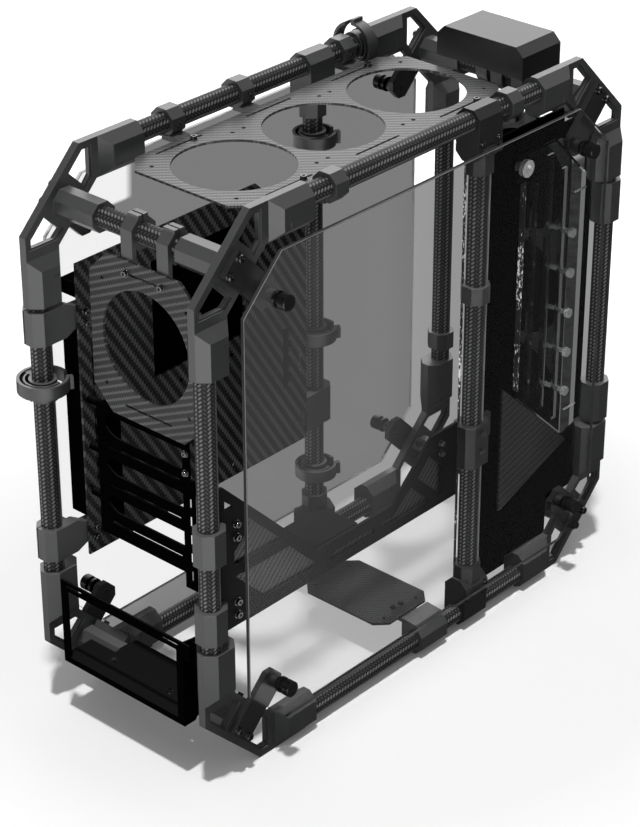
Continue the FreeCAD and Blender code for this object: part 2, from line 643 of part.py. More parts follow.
cover = cover.cut(box(COVER_X0 + COVER_WALL, TRAY_X + 1, COVER_Y0 + COVER_WALL, COVER_Y1 - COVER_WALL,
                      COVER_Z0 + COVER_WALL, COVER_Z1 - COVER_WALL))
cover = cover.fuse(box(COVER_X0, TRAY_X, COVER_Y0 + 30, COVER_Y0 + 32, COVER_Z0, COVER_Z1)).removeSplitter()
z = FAR_FRONT_Z[0]
cover = cover.cut(box(COVER_X0 - 1, TRAY_X + 1, -260, -235, z - 19, z + 19))
save("back_cover", cover)

# Power unit frame and cradle
PSU_Y = -304.0
PSU_X = 81.5
PSU_Z0 = 61.5
PSU_Z1 = 155.0
PSU_SIDE = 8.5
PSU_TOP = 10.5
PSU_LOW = 7.0
PSU_SHELF = 66.5
psu = box(-PSU_X, PSU_X, PSU_Y, PSU_Y + 2, PSU_Z0, PSU_Z1)
psu = psu.cut(box(-PSU_X + PSU_SIDE, PSU_X - PSU_SIDE, PSU_Y - 5, PSU_Y + 5, PSU_Z0 + PSU_LOW, PSU_Z1 - PSU_TOP))
psu = psu.fuse(box(PSU_X - 1, 90.0, PSU_Y, PSU_Y + 2, 138.0, PSU_Z1))
for x0, x1 in ((-75, -53), (53, 75)):
    psu = psu.cut(box(x0, x1, PSU_Y - 5, PSU_Y + 5, PSU_Z1 - 6.5, PSU_Z1 - 4))
# The shelf lies on the bosses and on the two carriers of the front cross tube
floor_part = box(-PSU_X, PSU_X, PSU_Y, -268.5, PSU_SHELF, PSU_SHELF + 1.5)
floor_part = floor_part.fuse(box(-48, 48, -270, -240.0, PSU_SHELF, PSU_SHELF + 1.5))
flange = prism_x([(PSU_Y, PSU_Z0), (-290, PSU_Z0), (-268.5, 84), (-268.5, 150), (PSU_Y, PSU_Z1)], PSU_X - 2, PSU_X)
tab = box(PSU_X, 91.0, -291, -289, 118, 150)
psu = fuse_all([psu, floor_part, flange, tab])
save("psu_frame", psu)

carriers = []
for xc in (-38.0, 38.0):
    s = cyl(14.0, 16, (xc - 8, -CROSS_Y, CROSS_LOW_Z), (1, 0, 0))
    s = s.fuse(box(xc - 8, xc + 8, -CROSS_Y - 34, -CROSS_Y - 8, PSU_SHELF - 8, PSU_SHELF))
    s = s.cut(cyl(TUBE_R + FIT, 40, (xc - 20, -CROSS_Y, CROSS_LOW_Z), (1, 0, 0)))
    s = s.cut(box(xc - 9, xc + 9, -CROSS_Y - 0.7, -CROSS_Y + 0.7, CROSS_LOW_Z - 20, CROSS_LOW_Z))
    carriers.append(s.removeSplitter())
for xc in (-38.0, 38.0):
    screws.append(screw((xc, -280.0, PSU_SHELF + 1.5), (0, 0, 1), 2.8, 2.4))

# Side skirt
SKIRT = [(-278, 162.8), (58, 162.8), (58, 245), (18, 245), (-39, 193.3), (-148, 193.3), (-272, 316), (-278, 316)]
SKIRT_HOLE = [(-270.5, 301), (-270.5, 291), (-259.5, 291)]
SKIRT_WINDOWS = [
    [(-241, 272), (-241, 258), (-259, 242), (-259, 228.3), (-196.5, 228.3)],
    [(-258, 216), (-186, 216), (-146, 176), (-218, 176)],
    [(-131, 173), (-66, 173), (-66, 180.5), (-124, 180.5)],
    [(-56, 173.5), (14, 173.5), (15, 176), (-12, 202), (-37, 180.5), (-56, 180.5)],
    [(-2, 207), (34, 173.5), (34, 207), (16, 225)],
]
skirt = prism_x(SKIRT, SKIRT_X, SKIRT_X + SKIRT_T)
skirt = skirt.cut(prism_x(SKIRT_HOLE, SKIRT_X - 1, SKIRT_X + 10))
for z in NEAR_FRONT_Z:
    skirt = skirt.cut(box(SKIRT_X - 1, SKIRT_X + 10, -300, -HALF_DEPTH + 30.8, z - 17.8, z + 17.8))
for w in SKIRT_WINDOWS:
    skirt = skirt.cut(prism_x(w, SKIRT_X - 1, SKIRT_X + 10))
save("side_skirt", skirt)
inlays = []
for w in SKIRT_WINDOWS:
    ca = sum(p[0] for p in w) / len(w)
    cb = sum(p[1] for p in w) / len(w)
    big = [(a + (1.2 if a > ca else -1.2), b + (1.2 if b > cb else -1.2)) for a, b in w]
    inlays.append(prism_x(big, SKIRT_X - 2, SKIRT_X))
save("skirt_inlays", inlays)

# Glass
for side, sname in ((1, "near"), (-1, "far")):
    x0 = GLASS_X if side > 0 else -GLASS_X - GLASS_T
    g = prism_x(chamfered(-GLASS_Y, GLASS_Y, GLASS_Z0, GLASS_Z1, GLASS_CH), x0, x0 + GLASS_T)
    for sy in (-1, 1):
        for z in (HEIGHT - KNOB_UV, FOOT + KNOB_UV):
            g = g.cut(cyl(3.2, 20, (x0 - 5, sy * (HALF_DEPTH - KNOB_UV), z), (1, 0, 0)))
    save("glass_%s" % sname, g)

# Rear cooling panel on the near side
REAR_OUT = [(110, 24), (231, 24), (231, 74), (284, 74), (284, 478), (259, 503), (233, 503), (233, 519), (110, 519)]
cover = prism_x(REAR_OUT, REAR_COVER_X, REAR_COVER_X + REAR_COVER_T)
REAR_WINDOW = [(172, 112), (172, 489), (228, 489), (274, 468), (274, 150)]
cover = cover.cut(prism_x(REAR_WINDOW, REAR_COVER_X - 1, REAR_COVER_X + 10))
save("rear_cover", cover)
COLD_X = REAR_COVER_X + REAR_COVER_T
COLD_T = 7.0
PLUG_Y = 161.5
PLUG_Z = 481.0
COLD = [(166, 223.5), (264, 132.5), (264, 443), (212, 495), (150, 495), (150, 465), (166, 465)]
cold = prism_x(COLD, COLD_X, COLD_X + COLD_T)
BOLT_Z = (384.0, 339.0, 293.5, 248.5, 203.0)
cuts = [box(COLD_X + 2, COLD_X + 5.5, 178, 187, 216, 455),
        box(COLD_X + 2, COLD_X + 5.5, 202, 211, 196, 480),
        box(COLD_X + 2, COLD_X + 5.5, 226, 234, 174, 458)]
for z in BOLT_Z:
    cuts.append(cyl(2.6, 30, (COLD_X - 5, 242.5, z), (1, 0, 0)))
cuts.append(cyl(6.0, 30, (COLD_X - 5, PLUG_Y, PLUG_Z), (1, 0, 0)))
cold = cut_all(cold, cuts)
save("distribution_plate", cold)
CORNER = [(146, 241), (258, 137), (150, 98), (146, 98)]
save("rear_corner_panel", prism_x(CORNER, COLD_X, COLD_X + PLATE_T))
bolts = []
for z in BOLT_Z:
    b = cyl(2.5, COLD_T, (COLD_X, 242.5, z), (1, 0, 0)).fuse(cyl(5.0, 4, (COLD_X + COLD_T, 242.5, z), (1, 0, 0)))
    bolts.append(b.removeSplitter())
save("plate_bolts", bolts)
plug = cyl(5.9, COLD_T, (COLD_X, PLUG_Y, PLUG_Z), (1, 0, 0))
plug = plug.fuse(cyl(9.0, 5, (COLD_X + COLD_T, PLUG_Y, PLUG_Z), (1, 0, 0)))
plug = plug.cut(cyl(4.5, 3, (COLD_X + COLD_T + 2.5, PLUG_Y, PLUG_Z), (1, 0, 0))).removeSplitter()
save("port_plug", plug)

# Box cover over the rear top cross tube
BOX_Y0 = 195.0
BOX_Y1 = 255.0
BOX_X0 = -41.0
BOX_X1 = 66.5
BOX_Z0 = 552.0
BOX_Z1 = 584.0
BOX_CH = 9.0
b = prism_y([(BOX_X0, BOX_Z0), (BOX_X1, BOX_Z0), (BOX_X1, BOX_Z1 - BOX_CH), (BOX_X1 - BOX_CH, BOX_Z1),
             (BOX_X0 + BOX_CH, BOX_Z1), (BOX_X0, BOX_Z1 - BOX_CH)], BOX_Y0, BOX_Y1)
save("box_cover", b)
for xc in (-20.0, 42.0):
    s = cyl(14.0, 14, (xc - 7, CROSS_Y, CROSS_TOP_Z), (1, 0, 0))
    s = s.fuse(box(xc - 7, xc + 7, CROSS_Y - 14, CROSS_Y, CROSS_TOP_Z, BOX_Z0))
    s = s.cut(cyl(TUBE_R + FIT, 40, (xc - 20, CROSS_Y, CROSS_TOP_Z), (1, 0, 0)))
    carriers.append(s.removeSplitter())
save("tube_carriers", carriers)

# Small octagonal pump plate on the near bottom tube, larger dark plate on the far one
PUMP_Z = 38.5
pump = prism_z(chamfered(-22, 90, -34, 46, 12), PUMP_Z, PUMP_Z + PLATE_T)
for x, y in ((-12, 31), (-12, -19), (80, 31), (80, -19)):
    pump = pump.cut(cyl(1.8, 20, (x, y, PUMP_Z - 5), (0, 0, 1)))
save("pump_plate", pump)
a = SOCKET_W
block = prism_y([(TUBE_X - a, LOW_AXIS_Z - 6), (TUBE_X - 6, LOW_AXIS_Z - a), (TUBE_X + 6, LOW_AXIS_Z - a),
                 (TUBE_X + a, LOW_AXIS_Z - 6), (TUBE_X + a, LOW_AXIS_Z + 8), (TUBE_X + 4, LOW_AXIS_Z + a + 6),
                 (TUBE_X - a, LOW_AXIS_Z + a + 7.5)], -4, 36)
ear = box(66, 95, -4, 20, PUMP_Z - 5, PUMP_Z)
block = fuse_all([block, ear]).cut(cyl(TUBE_R + FIT, 60, (TUBE_X, -15, LOW_AXIS_Z), (0, 1, 0)))
save("pump_clamp", block)
for y in (1.5, 13.0):
    screws.append(screw((75.0, y, PUMP_Z + PLATE_T), (0, 0, 1), 2.6, 2.2))
RES_Z = 58.0
shelf = box(-TUBE_X + 14, -40, -4, 77, RES_Z, RES_Z + PLATE_T)
shelf = shelf.fuse(box(-TUBE_X + 14, -TUBE_X + 16.5, -4, 62, 22, RES_Z + PLATE_T)).removeSplitter()
save("far_shelf", shelf)
hold = prism_y(chamfered(-TUBE_X - 14, -TUBE_X + 14, LOW_AXIS_Z - 13, LOW_AXIS_Z + 14, 7), 4, 44)
hold = hold.cut(cyl(TUBE_R + FIT, 60, (-TUBE_X, -10, LOW_AXIS_Z), (0, 1, 0)))
save("far_shelf_clamp", hold)

save("screws", screws)
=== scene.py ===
"""Looks of the open air test bench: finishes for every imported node, small added pieces, studio and camera."""
import logging
import math
from dataclasses import dataclass, field
from enum import Enum
from typing import Iterable, Optional, Sequence, Union

import bmesh
import bpy
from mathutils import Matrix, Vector


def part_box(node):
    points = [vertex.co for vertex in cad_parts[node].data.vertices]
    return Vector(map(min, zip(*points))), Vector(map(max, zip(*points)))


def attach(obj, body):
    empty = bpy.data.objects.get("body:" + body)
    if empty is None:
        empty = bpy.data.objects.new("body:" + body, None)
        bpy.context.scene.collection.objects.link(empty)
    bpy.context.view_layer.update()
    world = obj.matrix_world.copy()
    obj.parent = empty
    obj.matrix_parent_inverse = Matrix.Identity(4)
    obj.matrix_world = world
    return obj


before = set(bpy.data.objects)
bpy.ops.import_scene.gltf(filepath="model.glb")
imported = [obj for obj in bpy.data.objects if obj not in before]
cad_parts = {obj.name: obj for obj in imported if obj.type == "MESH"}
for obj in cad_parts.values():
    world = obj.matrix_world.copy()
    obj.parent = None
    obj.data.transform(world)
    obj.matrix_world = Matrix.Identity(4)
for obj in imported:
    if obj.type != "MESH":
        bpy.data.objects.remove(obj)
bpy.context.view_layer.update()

LOG = logging.getLogger("test_bench")
MM = 0.001
BODY = "root"
BLACK = (0.0, 0.0, 0.0, 1.0)
WHITE = (1.0, 1.0, 1.0, 1.0)
PAINTED_TOP_POWER = 3.0

Material, Mesh, Node, Object = bpy.types.Material, bpy.types.Mesh, bpy.types.Node, bpy.types.Object
Tree, Socket = bpy.types.NodeTree, bpy.types.NodeSocket
Value = Union[float, Socket]
Colour = tuple[float, float, float]


class Axis(Enum):
    """A row axis, as the index of its coordinate."""

    X = 0
    Y = 1
    Z = 2


class Plane(Enum):
    """The two coordinates that lie in a flat sheet."""

    XY = (0, 1)
    XZ = (0, 2)
    YZ = (1, 2)


class Sheet:
    """Short calls for building one node tree."""

    def __init__(self, tree: Tree) -> None:
        """Keeps the tree.

        Args:
            tree: the tree that the nodes go into.
        """
        self.tree = tree

    def add(self, kind: str, **settings: object) -> Node:
        """Adds a node and sets its properties.

        Args:
            kind: the node's type name.
            settings: property names and values.

        Returns:
            The new node.
        """
        node = self.tree.nodes.new(kind)
        for name, value in settings.items():
            setattr(node, name, value)
        return node

    def feed(self, socket: Socket, value: object) -> None:
        """Links a socket to an input, or sets the input's own value."""
        if isinstance(value, Socket):
            self.tree.links.new(value, socket)
        elif value is not None:
            socket.default_value = value

    def fill(self, node: Node, **values: object) -> Node:
        """Feeds the named inputs of a node.

        Args:
            node: the node.
            values: input names, with underscores for spaces.

        Returns:
            The same node.
        """
        for name, value in values.items():
            self.feed(node.inputs[name.replace("_", " ")], value)
        return node

    def math(self, operation: str, a: Value, b: Value = 0.0, c: Value = 0.0) -> Socket:
        """One Math node.

        Args:
            operation: the operation's name.
            a: first value.
            b: second value.
            c: third value.

        Returns:
            The node's output.
        """
        node = self.add("ShaderNodeMath", operation=operation)
        for socket, value in zip(node.inputs, (a, b, c)):
            self.feed(socket, value)
        return node.outputs[0]

    def mix(self, factor: Value, a: object, b: object) -> Socket:
        """Mixes two colours by a factor."""
        node = self.add("ShaderNodeMix", data_type="RGBA")
        self.feed(node.inputs[0], factor)
        self.feed(node.inputs[6], a)
        self.feed(node.inputs[7], b)
        return node.outputs[2]

    def blend(self, factor: Value, a: Value, b: Value) -> Socket:
        """Mixes two numbers by a factor."""
        node = self.add("ShaderNodeMix", data_type="FLOAT")
        self.feed(node.inputs[0], factor)
        self.feed(node.inputs[2], a)
        self.feed(node.inputs[3], b)
        return node.outputs[0]

    def noise(self, where: Socket, scale: Value, detail: float = 2.0, stretch: Sequence[float] = (1, 1, 1)) -> Socket:
        """A noise value.

        Args:
            where: the coordinates to read.
            scale: the noise's scale.
            detail: octaves.
            stretch: scale along each coordinate.

        Returns:
            The noise factor.
        """
        if tuple(stretch) != (1, 1, 1):
            where = self.fill(self.add("ShaderNodeMapping"), Scale=stretch, Vector=where).outputs[0]
        node = self.fill(self.add("ShaderNodeTexNoise"), Scale=scale, Detail=detail, Vector=where)
        return node.outputs["Fac"]

    def place(self) -> Socket:
        """Object coordinates."""
        return self.add("ShaderNodeTexCoord").outputs["Object"]

    def split(self, vector: Socket) -> Sequence[Socket]:
        """The X, Y and Z of a vector."""
        node = self.add("ShaderNodeSeparateXYZ")
        self.feed(node.inputs[0], vector)
        return node.outputs

    def group(self, tree: Tree, **values: Value) -> Node:
        """Places a shader group and feeds its named inputs."""
        return self.fill(self.add("ShaderNodeGroup", node_tree=tree), **values)


def new_group(name: str, inputs: Iterable[tuple[str, str, float]], outputs: Iterable[tuple[str, str]]) -> tuple:
    """Starts a shader group.

    Args:
        name: the group's name.
        inputs: name, socket type and first value of each input.
        outputs: name and socket type of each output.

    Returns:
        The tree, its Sheet, its input node and its output node.
    """
    tree = bpy.data.node_groups.new(name, "ShaderNodeTree")
    for label, kind, value in inputs:
        socket = tree.interface.new_socket(label, in_out="INPUT", socket_type=kind)
        if kind == "NodeSocketFloat":
            socket.default_value = value
    for label, kind in outputs:
        tree.interface.new_socket(label, in_out="OUTPUT", socket_type=kind)
    sheet = Sheet(tree)
    return tree, sheet, sheet.add("NodeGroupInput"), sheet.add("NodeGroupOutput")


class Effects:
    """The shader groups that several finishes share."""

    REPEAT = 4.0
    OVER = 1.5
    SIDE_POWER = 0.5
    END_POWER = 0.45
    FIBRE_WAVES = 14.0
    DETAIL = 3.0
    DRIFT_SCALE = 14.0

    def __init__(self) -> None:
        """Builds each group once."""
        self.twill = self._twill()
        self.grain = self._grain()

    def _twill(self) -> Tree:
        """Two over, two under weave in lattice coordinates.

        Returns:
            A group with inputs Warp and Weft, and outputs Tow, Crown and Fibre.
        """
        tree, s, i, o = new_group(
            "woven_tows",
            [("Warp", "NodeSocketFloat", 0.0), ("Weft", "NodeSocketFloat", 0.0)],
            [("Tow", "NodeSocketFloat"), ("Crown", "NodeSocketFloat"), ("Fibre", "NodeSocketFloat")],
        )
        a, b = i.outputs["Warp"], i.outputs["Weft"]
        ia, ib = s.math("FLOOR", a), s.math("FLOOR", b)
        fa, fb = s.math("FRACT", a), s.math("FRACT", b)
        phase = s.math("FLOORED_MODULO", s.math("ADD", ia, ib), self.REPEAT)
        tow = s.math("LESS_THAN", phase, self.OVER)
        side_a = s.math("SINE", s.math("MULTIPLY", fa, math.pi))
        side_b = s.math("SINE", s.math("MULTIPLY", fb, math.pi))
        across = s.blend(tow, side_b, side_a)
        run_a = s.math("FLOORED_MODULO", s.math("ADD", ia, b), self.REPEAT)
        run_b = s.math("FLOORED_MODULO", s.math("SUBTRACT", s.math("ADD", ib, a), self.REPEAT / 2.0), self.REPEAT)
        run = s.math("MULTIPLY", s.blend(tow, run_b, run_a), math.pi / 2.0)
        along = s.math("MAXIMUM", s.math("SINE", run), 0.0)
        sides = s.math("POWER", across, self.SIDE_POWER)
        crown = s.math("MULTIPLY", sides, s.math("POWER", along, self.END_POWER))
        line_a, line_b = (s.math("SINE", s.math("MULTIPLY", f, math.pi * self.FIBRE_WAVES)) for f in (fa, fb))
        s.fill(o, Tow=tow, Crown=crown, Fibre=s.math("MULTIPLY_ADD", s.blend(tow, line_b, line_a), 0.5, 0.5))
        return tree

    def _grain(self) -> Tree:
        """Fine moulded or coated grain with slow tone drift.

        Returns:
            A group with inputs Place, Size and Drift, and outputs Height and Tone.
        """
        tree, s, i, o = new_group(
            "fine_grain",
            [("Place", "NodeSocketVector", 0.0), ("Size", "NodeSocketFloat", 900.0),
             ("Drift", "NodeSocketFloat", 0.2)],
            [("Height", "NodeSocketFloat"), ("Tone", "NodeSocketFloat")],
        )
        fine = s.noise(i.outputs["Place"], i.outputs["Size"], self.DETAIL)
        slow = s.noise(i.outputs["Place"], self.DRIFT_SCALE, self.DETAIL)
        lift = s.math("MULTIPLY", s.math("SUBTRACT", slow, 0.5), i.outputs["Drift"])
        s.fill(o, Height=fine, Tone=s.math("ADD", lift, 0.5))
        return tree


def start_material(name: str) -> tuple[Material, Sheet, Node]:
    """A material with an empty Principled shader.

    Args:
        name: the material's name.

    Returns:
        The material, its Sheet and its shader node.
    """
    material = bpy.data.materials.new(name)
    material.use_nodes = True
    sheet = Sheet(material.node_tree)
    return material, sheet, material.node_tree.nodes["Principled BSDF"]


def relief(sheet: Sheet, shader: Node, height: Socket, depth: float, soften: float = 0.0) -> None:
    """Feeds the shader's Normal with a bump, over softened edges if asked.

    Args:
        sheet: the material's Sheet.
        shader: the Principled node.
        height: the height socket.
        depth: bump depth in metres.
        soften: edge radius in metres.
    """
    bump = sheet.fill(sheet.add("ShaderNodeBump"), Strength=1.0, Distance=depth, Height=height)
    if soften:
        bevel = sheet.fill(sheet.add("ShaderNodeBevel", samples=4), Radius=soften)
        sheet.fill(bump, Normal=bevel.outputs[0])
    sheet.fill(shader, Normal=bump.outputs[0])


@dataclass(frozen=True)
class GrainFinish:
    """Moulded, coated or satin surface with a fine grain.

    Args:
        name: material name.
        dark: darker tone.
        light: lighter tone.
        roughness: mean roughness.
        spread: how far roughness varies.
        grain: grain scale, per metre.
        depth: grain depth in metres.
        metallic: metal share.
        coat: clear coat weight.
        coat_roughness: roughness of the clear coat.
        drift: how far the tone varies.
        soften: radius of the softened edges, in metres.
        specular: specular level.
        painted_top_light: painted light, how far the tone rises on faces that look up, as if the overhead lamp fell
            on them.
    """

    name: str
    dark: Colour
    light: Colour
    roughness: float = 0.5
    spread: float = 0.1
    grain: float = 1400.0
    depth: float = 0.00004
    metallic: float = 0.0
    coat: float = 0.0
    coat_roughness: float = 0.12
    drift: float = 0.9
    soften: float = 0.0004
    specular: float = 0.5
    painted_top_light: float = 0.0

    def make(self, effects: Effects) -> Material:
        """Builds the material.

        Args:
            effects: the shared shader groups.

        Returns:
            The material.
        """
        material, s, shader = start_material(self.name)
        grain = s.group(effects.grain, Place=s.place(), Size=self.grain, Drift=self.drift)
        tone = s.mix(grain.outputs["Tone"], (*self.dark, 1.0), (*self.light, 1.0))
        # Painted light: faces that look up are mixed towards a lighter tone, as if the overhead lamp fell on them.
        if self.painted_top_light:
            up = s.math("MAXIMUM", s.split(s.add("ShaderNodeNewGeometry").outputs["Normal"])[2], 0.0)
            tone = s.mix(s.math("POWER", up, PAINTED_TOP_POWER), tone, (self.painted_top_light, self.painted_top_light, self.painted_top_light, 1.0))
        rough = s.math("MULTIPLY_ADD", grain.outputs["Height"], self.spread, self.roughness - self.spread / 2)
        s.fill(shader, Base_Color=tone, Specular_IOR_Level=self.specular, Roughness=rough, Metallic=self.metallic,
               Coat_Weight=self.coat, Coat_Roughness=self.coat_roughness)
        relief(s, shader, grain.outputs["Height"], self.depth, self.soften)
        return material


@dataclass(frozen=True)
class WeaveFinish:
    """Carbon weave, flat on a sheet or wound round a tube.

    Args:
        name: material name.
        tow: width of one tow, in metres.
        warp: tone of the warp tows, lighter than the weft's as painted sheen.
        weft: tone of the weft tows, darker than the warp's as painted sheen.
        gap: tone of the gaps between tows.
        roughness: roughness of the tows.
        coat: clear coat weight.
        depth: weave depth in metres.
        turn: turn of the weave within its sheet, in degrees.
        specular: specular level.
        crown: power of the painted shade that darkens each tow towards its edges and ends.
        coat_roughness: roughness of the clear coat.
        weft_rough: how much rougher the weft tows are.
        blotch_size: scale of the blotches, per metre.
        blotch_drift: how far the blotches vary.
        blotch_floor: blotch tone below which a tow stays clear.
        blotch_share: how dark a blotch can be.
        fibre_share: how dark the lines between fibres are.
        fibre_height: height of a fibre as a share of the crown's.
    """

    name: str
    tow: float
    warp: Colour
    weft: Colour
    gap: Colour = (0.004, 0.004, 0.004)
    roughness: float = 0.4
    coat: float = 0.3
    depth: float = 0.0002
    turn: float = 0.0
    specular: float = 0.4
    crown: float = 1.3
    coat_roughness: float = 0.2
    weft_rough: float = 0.12
    blotch_size: float = 600.0
    blotch_drift: float = 1.6
    blotch_floor: float = 0.3
    blotch_share: float = 0.6
    fibre_share: float = 0.25
    fibre_height: float = 0.06

    def on_sheet(self, effects: Effects, plane: Plane) -> Material:
        """The weave on a flat sheet.

        Args:
            effects: the shared shader groups.
            plane: the sheet's plane.

        Returns:
            The material.
        """
        material, s, shader = start_material(self.name)
        place = s.place()
        parts = s.split(place)
        first, second = (parts[k] for k in plane.value)
        cosine = math.cos(math.radians(self.turn)) / self.tow
        sine = math.sin(math.radians(self.turn)) / self.tow
        a = s.math("MULTIPLY_ADD", first, cosine, s.math("MULTIPLY", second, sine))
        b = s.math("MULTIPLY_ADD", second, cosine, s.math("MULTIPLY", first, -sine))
        self._dress(effects, s, shader, a, b, place)
        return material

    def on_tube(self, effects: Effects, axis: Axis, centre: Sequence[float], radius: float) -> Material:
        """The weave as a braid at 45 degrees round a tube.

        Args:
            effects: the shared shader groups.
            axis: the tube's direction.
            centre: a point on its axis, in metres.
            radius: its outer radius.

        Returns:
            The material.
        """
        spot = "_".join("%d" % round(c * 1000) for c in centre)
        material, s, shader = start_material("%s_%s" % (self.name, spot))
        place = s.place()
        parts = s.split(place)
        u, v = (s.math("SUBTRACT", parts[k], centre[k]) for k in range(3) if k != axis.value)
        tows = max(4, round(2 * math.pi * radius / (self.tow * math.sqrt(2.0))))
        turn = s.math("MULTIPLY", s.math("ARCTAN2", u, v), tows / (2 * math.pi))
        run = s.math("MULTIPLY", parts[axis.value], tows / (2 * math.pi * radius))
        self._dress(effects, s, shader, s.math("ADD", turn, run), s.math("SUBTRACT", turn, run), place)
        return material

    def _dress(self, effects: Effects, s: Sheet, shader: Node, a: Socket, b: Socket, place: Socket) -> None:
        """Colour, roughness and relief of the tows.

        Args:
            effects: the shared shader groups.
            s: the material's Sheet.
            shader: the Principled node.
            a: warp lattice coordinate.
            b: weft lattice coordinate.
            place: object coordinates.
        """
        weave = s.group(effects.twill, Warp=a, Weft=b)
        grain = s.group(effects.grain, Place=place, Size=self.blotch_size, Drift=self.blotch_drift)
        gap = (*self.gap, 1.0)
        # Painted sheen: warp and weft are the same black fibre; the lighter and the darker tone stand in for the
        # glint that falls on them.
        tow = s.mix(weave.outputs["Tow"], (*self.weft, 1.0), (*self.warp, 1.0))
        tow = s.mix(s.math("MULTIPLY", weave.outputs["Fibre"], self.fibre_share), tow, gap)
        blotch = s.math("SUBTRACT", grain.outputs["Tone"], self.blotch_floor)
        tow = s.mix(s.math("MULTIPLY", blotch, self.blotch_share), tow, gap)
        # Painted shade: each tow's colour falls to the gap tone towards its edges and ends.
        crown = s.math("POWER", weave.outputs["Crown"], self.crown)
        rough = s.blend(weave.outputs["Tow"], self.roughness + self.weft_rough, self.roughness)
        s.fill(shader, Base_Color=s.mix(crown, gap, tow), Roughness=rough, Specular_IOR_Level=self.specular,
               Coat_Weight=self.coat, Coat_Roughness=self.coat_roughness)
        height = s.math("MULTIPLY_ADD", weave.outputs["Fibre"], self.fibre_height, weave.outputs["Crown"])
        relief(s, shader, height, self.depth)


@dataclass(frozen=True)
class GlintPaintFinish:
    """Frosted clear edge with painted glints: bright specks that also glow.

    Args:
        name: material name.
        base: tone between the glints.
        painted_glint: tone of the painted glints.
        share: noise level above which a painted glint shows.
        flake_scale: scale of the flakes, per metre.
        flake_stretch: scale of the flakes along each coordinate.
        patch_scale: scale of the patches of flakes, per metre.
        contrast: how sharply a painted glint begins.
        painted_glow: emission strength of the painted glints, a glow on a part that is no lamp.
        rough: roughness between the glints and of the glints.
    """

    name: str
    base: Colour = (0.012, 0.012, 0.012)
    painted_glint: Colour = (0.85, 0.86, 0.86)
    share: float = 0.585
    flake_scale: float = 620.0
    flake_stretch: tuple[float, float, float] = (1.0, 1.0, 0.4)
    patch_scale: float = 22.0
    contrast: float = 14.0
    painted_glow: float = 0.25
    rough: tuple[float, float] = (0.45, 0.2)

    def make(self, effects: Effects) -> Material:
        """Builds the material.

        Args:
            effects: the shared shader groups.

        Returns:
            The material.
        """
        material, s, shader = start_material(self.name)
        place = s.place()
        flakes = s.noise(place, self.flake_scale, 3.0, self.flake_stretch)
        patches = s.noise(place, self.patch_scale, 1.0)
        level = s.math("MULTIPLY_ADD", patches, 0.5, s.math("SUBTRACT", flakes, 0.25))
        bright = s.math("MULTIPLY", s.math("SUBTRACT", level, self.share), self.contrast)
        bright.node.use_clamp = True
        grain = s.group(effects.grain, Place=place, Size=900.0, Drift=0.8)
        base = s.mix(grain.outputs["Tone"], (*self.base, 1.0), (*(c * 2.0 for c in self.base), 1.0))
        # Painted highlight: the specks take the glint tone and glow.
        s.fill(shader, Base_Color=s.mix(bright, base, (*self.painted_glint, 1.0)), Roughness=s.blend(bright, *self.rough),
               Emission_Color=s.mix(bright, BLACK, WHITE), Emission_Strength=self.painted_glow)
        return material


@dataclass(frozen=True)
class ClearFinish:
    """Smoked glass or clear block.

    Args:
        name: material name.
        tint: colour of each face's crossing.
        ior: refractive index.
        roughness: face roughness.
        painted_glare: painted reflection, an emission glow on the front of a pane.
        painted_glare_ahead: factor and offset of the painted glare along the depth.
        painted_glare_high: factor and offset of the painted glare with height.
        unevenness: how much darker the tint gets in places.
        ripple: how far roughness varies.
    """

    name: str
    tint: Colour
    ior: float = 1.45
    roughness: float = 0.0
    painted_glare: float = 0.0
    painted_glare_ahead: tuple[float, float] = (-11.0, 0.2)
    painted_glare_high: tuple[float, float] = (4.5, -0.35)
    unevenness: float = 0.03
    ripple: float = 0.01

    def make(self, effects: Effects) -> Material:
        """Builds the material.

        Args:
            effects: the shared shader groups.

        Returns:
            The material.
        """
        material, s, shader = start_material(self.name)
        grain = s.group(effects.grain, Place=s.place(), Size=60.0, Drift=0.05)
        dim = tuple(c * (1.0 - self.unevenness) for c in self.tint)
        rough = s.math("MULTIPLY_ADD", grain.outputs["Height"], self.ripple, self.roughness)
        s.fill(shader, Base_Color=s.mix(grain.outputs["Tone"], (*self.tint, 1.0), (*dim, 1.0)), Roughness=rough,
               Transmission_Weight=1.0, IOR=self.ior)
        # Painted reflection: a plain emission veil on the pane, fading towards the back and towards the bottom.
        if self.painted_glare:
            parts = s.split(s.place())
            ahead = s.math("MULTIPLY_ADD", parts[1], *self.painted_glare_ahead)
            high = s.math("MULTIPLY_ADD", parts[2], *self.painted_glare_high)
            ahead.node.use_clamp = high.node.use_clamp = True
            painted_glare_colour = s.mix(s.math("MULTIPLY", ahead, high), BLACK, (self.painted_glare, self.painted_glare, self.painted_glare, 1.0))
            s.fill(shader, Emission_Color=painted_glare_colour, Emission_Strength=1.0)
        return material


def place_object(name: str, data: Optional[bpy.types.ID]) -> Object:
    """Makes an object in the scene.

    Args:
        name: the object's name.
        data: its mesh, camera or lamp.

    Returns:
        The new object.
    """
    item = bpy.data.objects.new(name, data)
    bpy.context.scene.collection.objects.link(item)
    return item


def paint(node: str, material: Material) -> None:
    """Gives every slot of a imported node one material.

    Args:
        node: the node's name.
        material: the material.
    """
    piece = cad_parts[node]
    if not piece.material_slots:
        piece.data.materials.append(material)
    for held in piece.material_slots:
        held.material = material
    LOG.info("%s: %s", node, material.name)


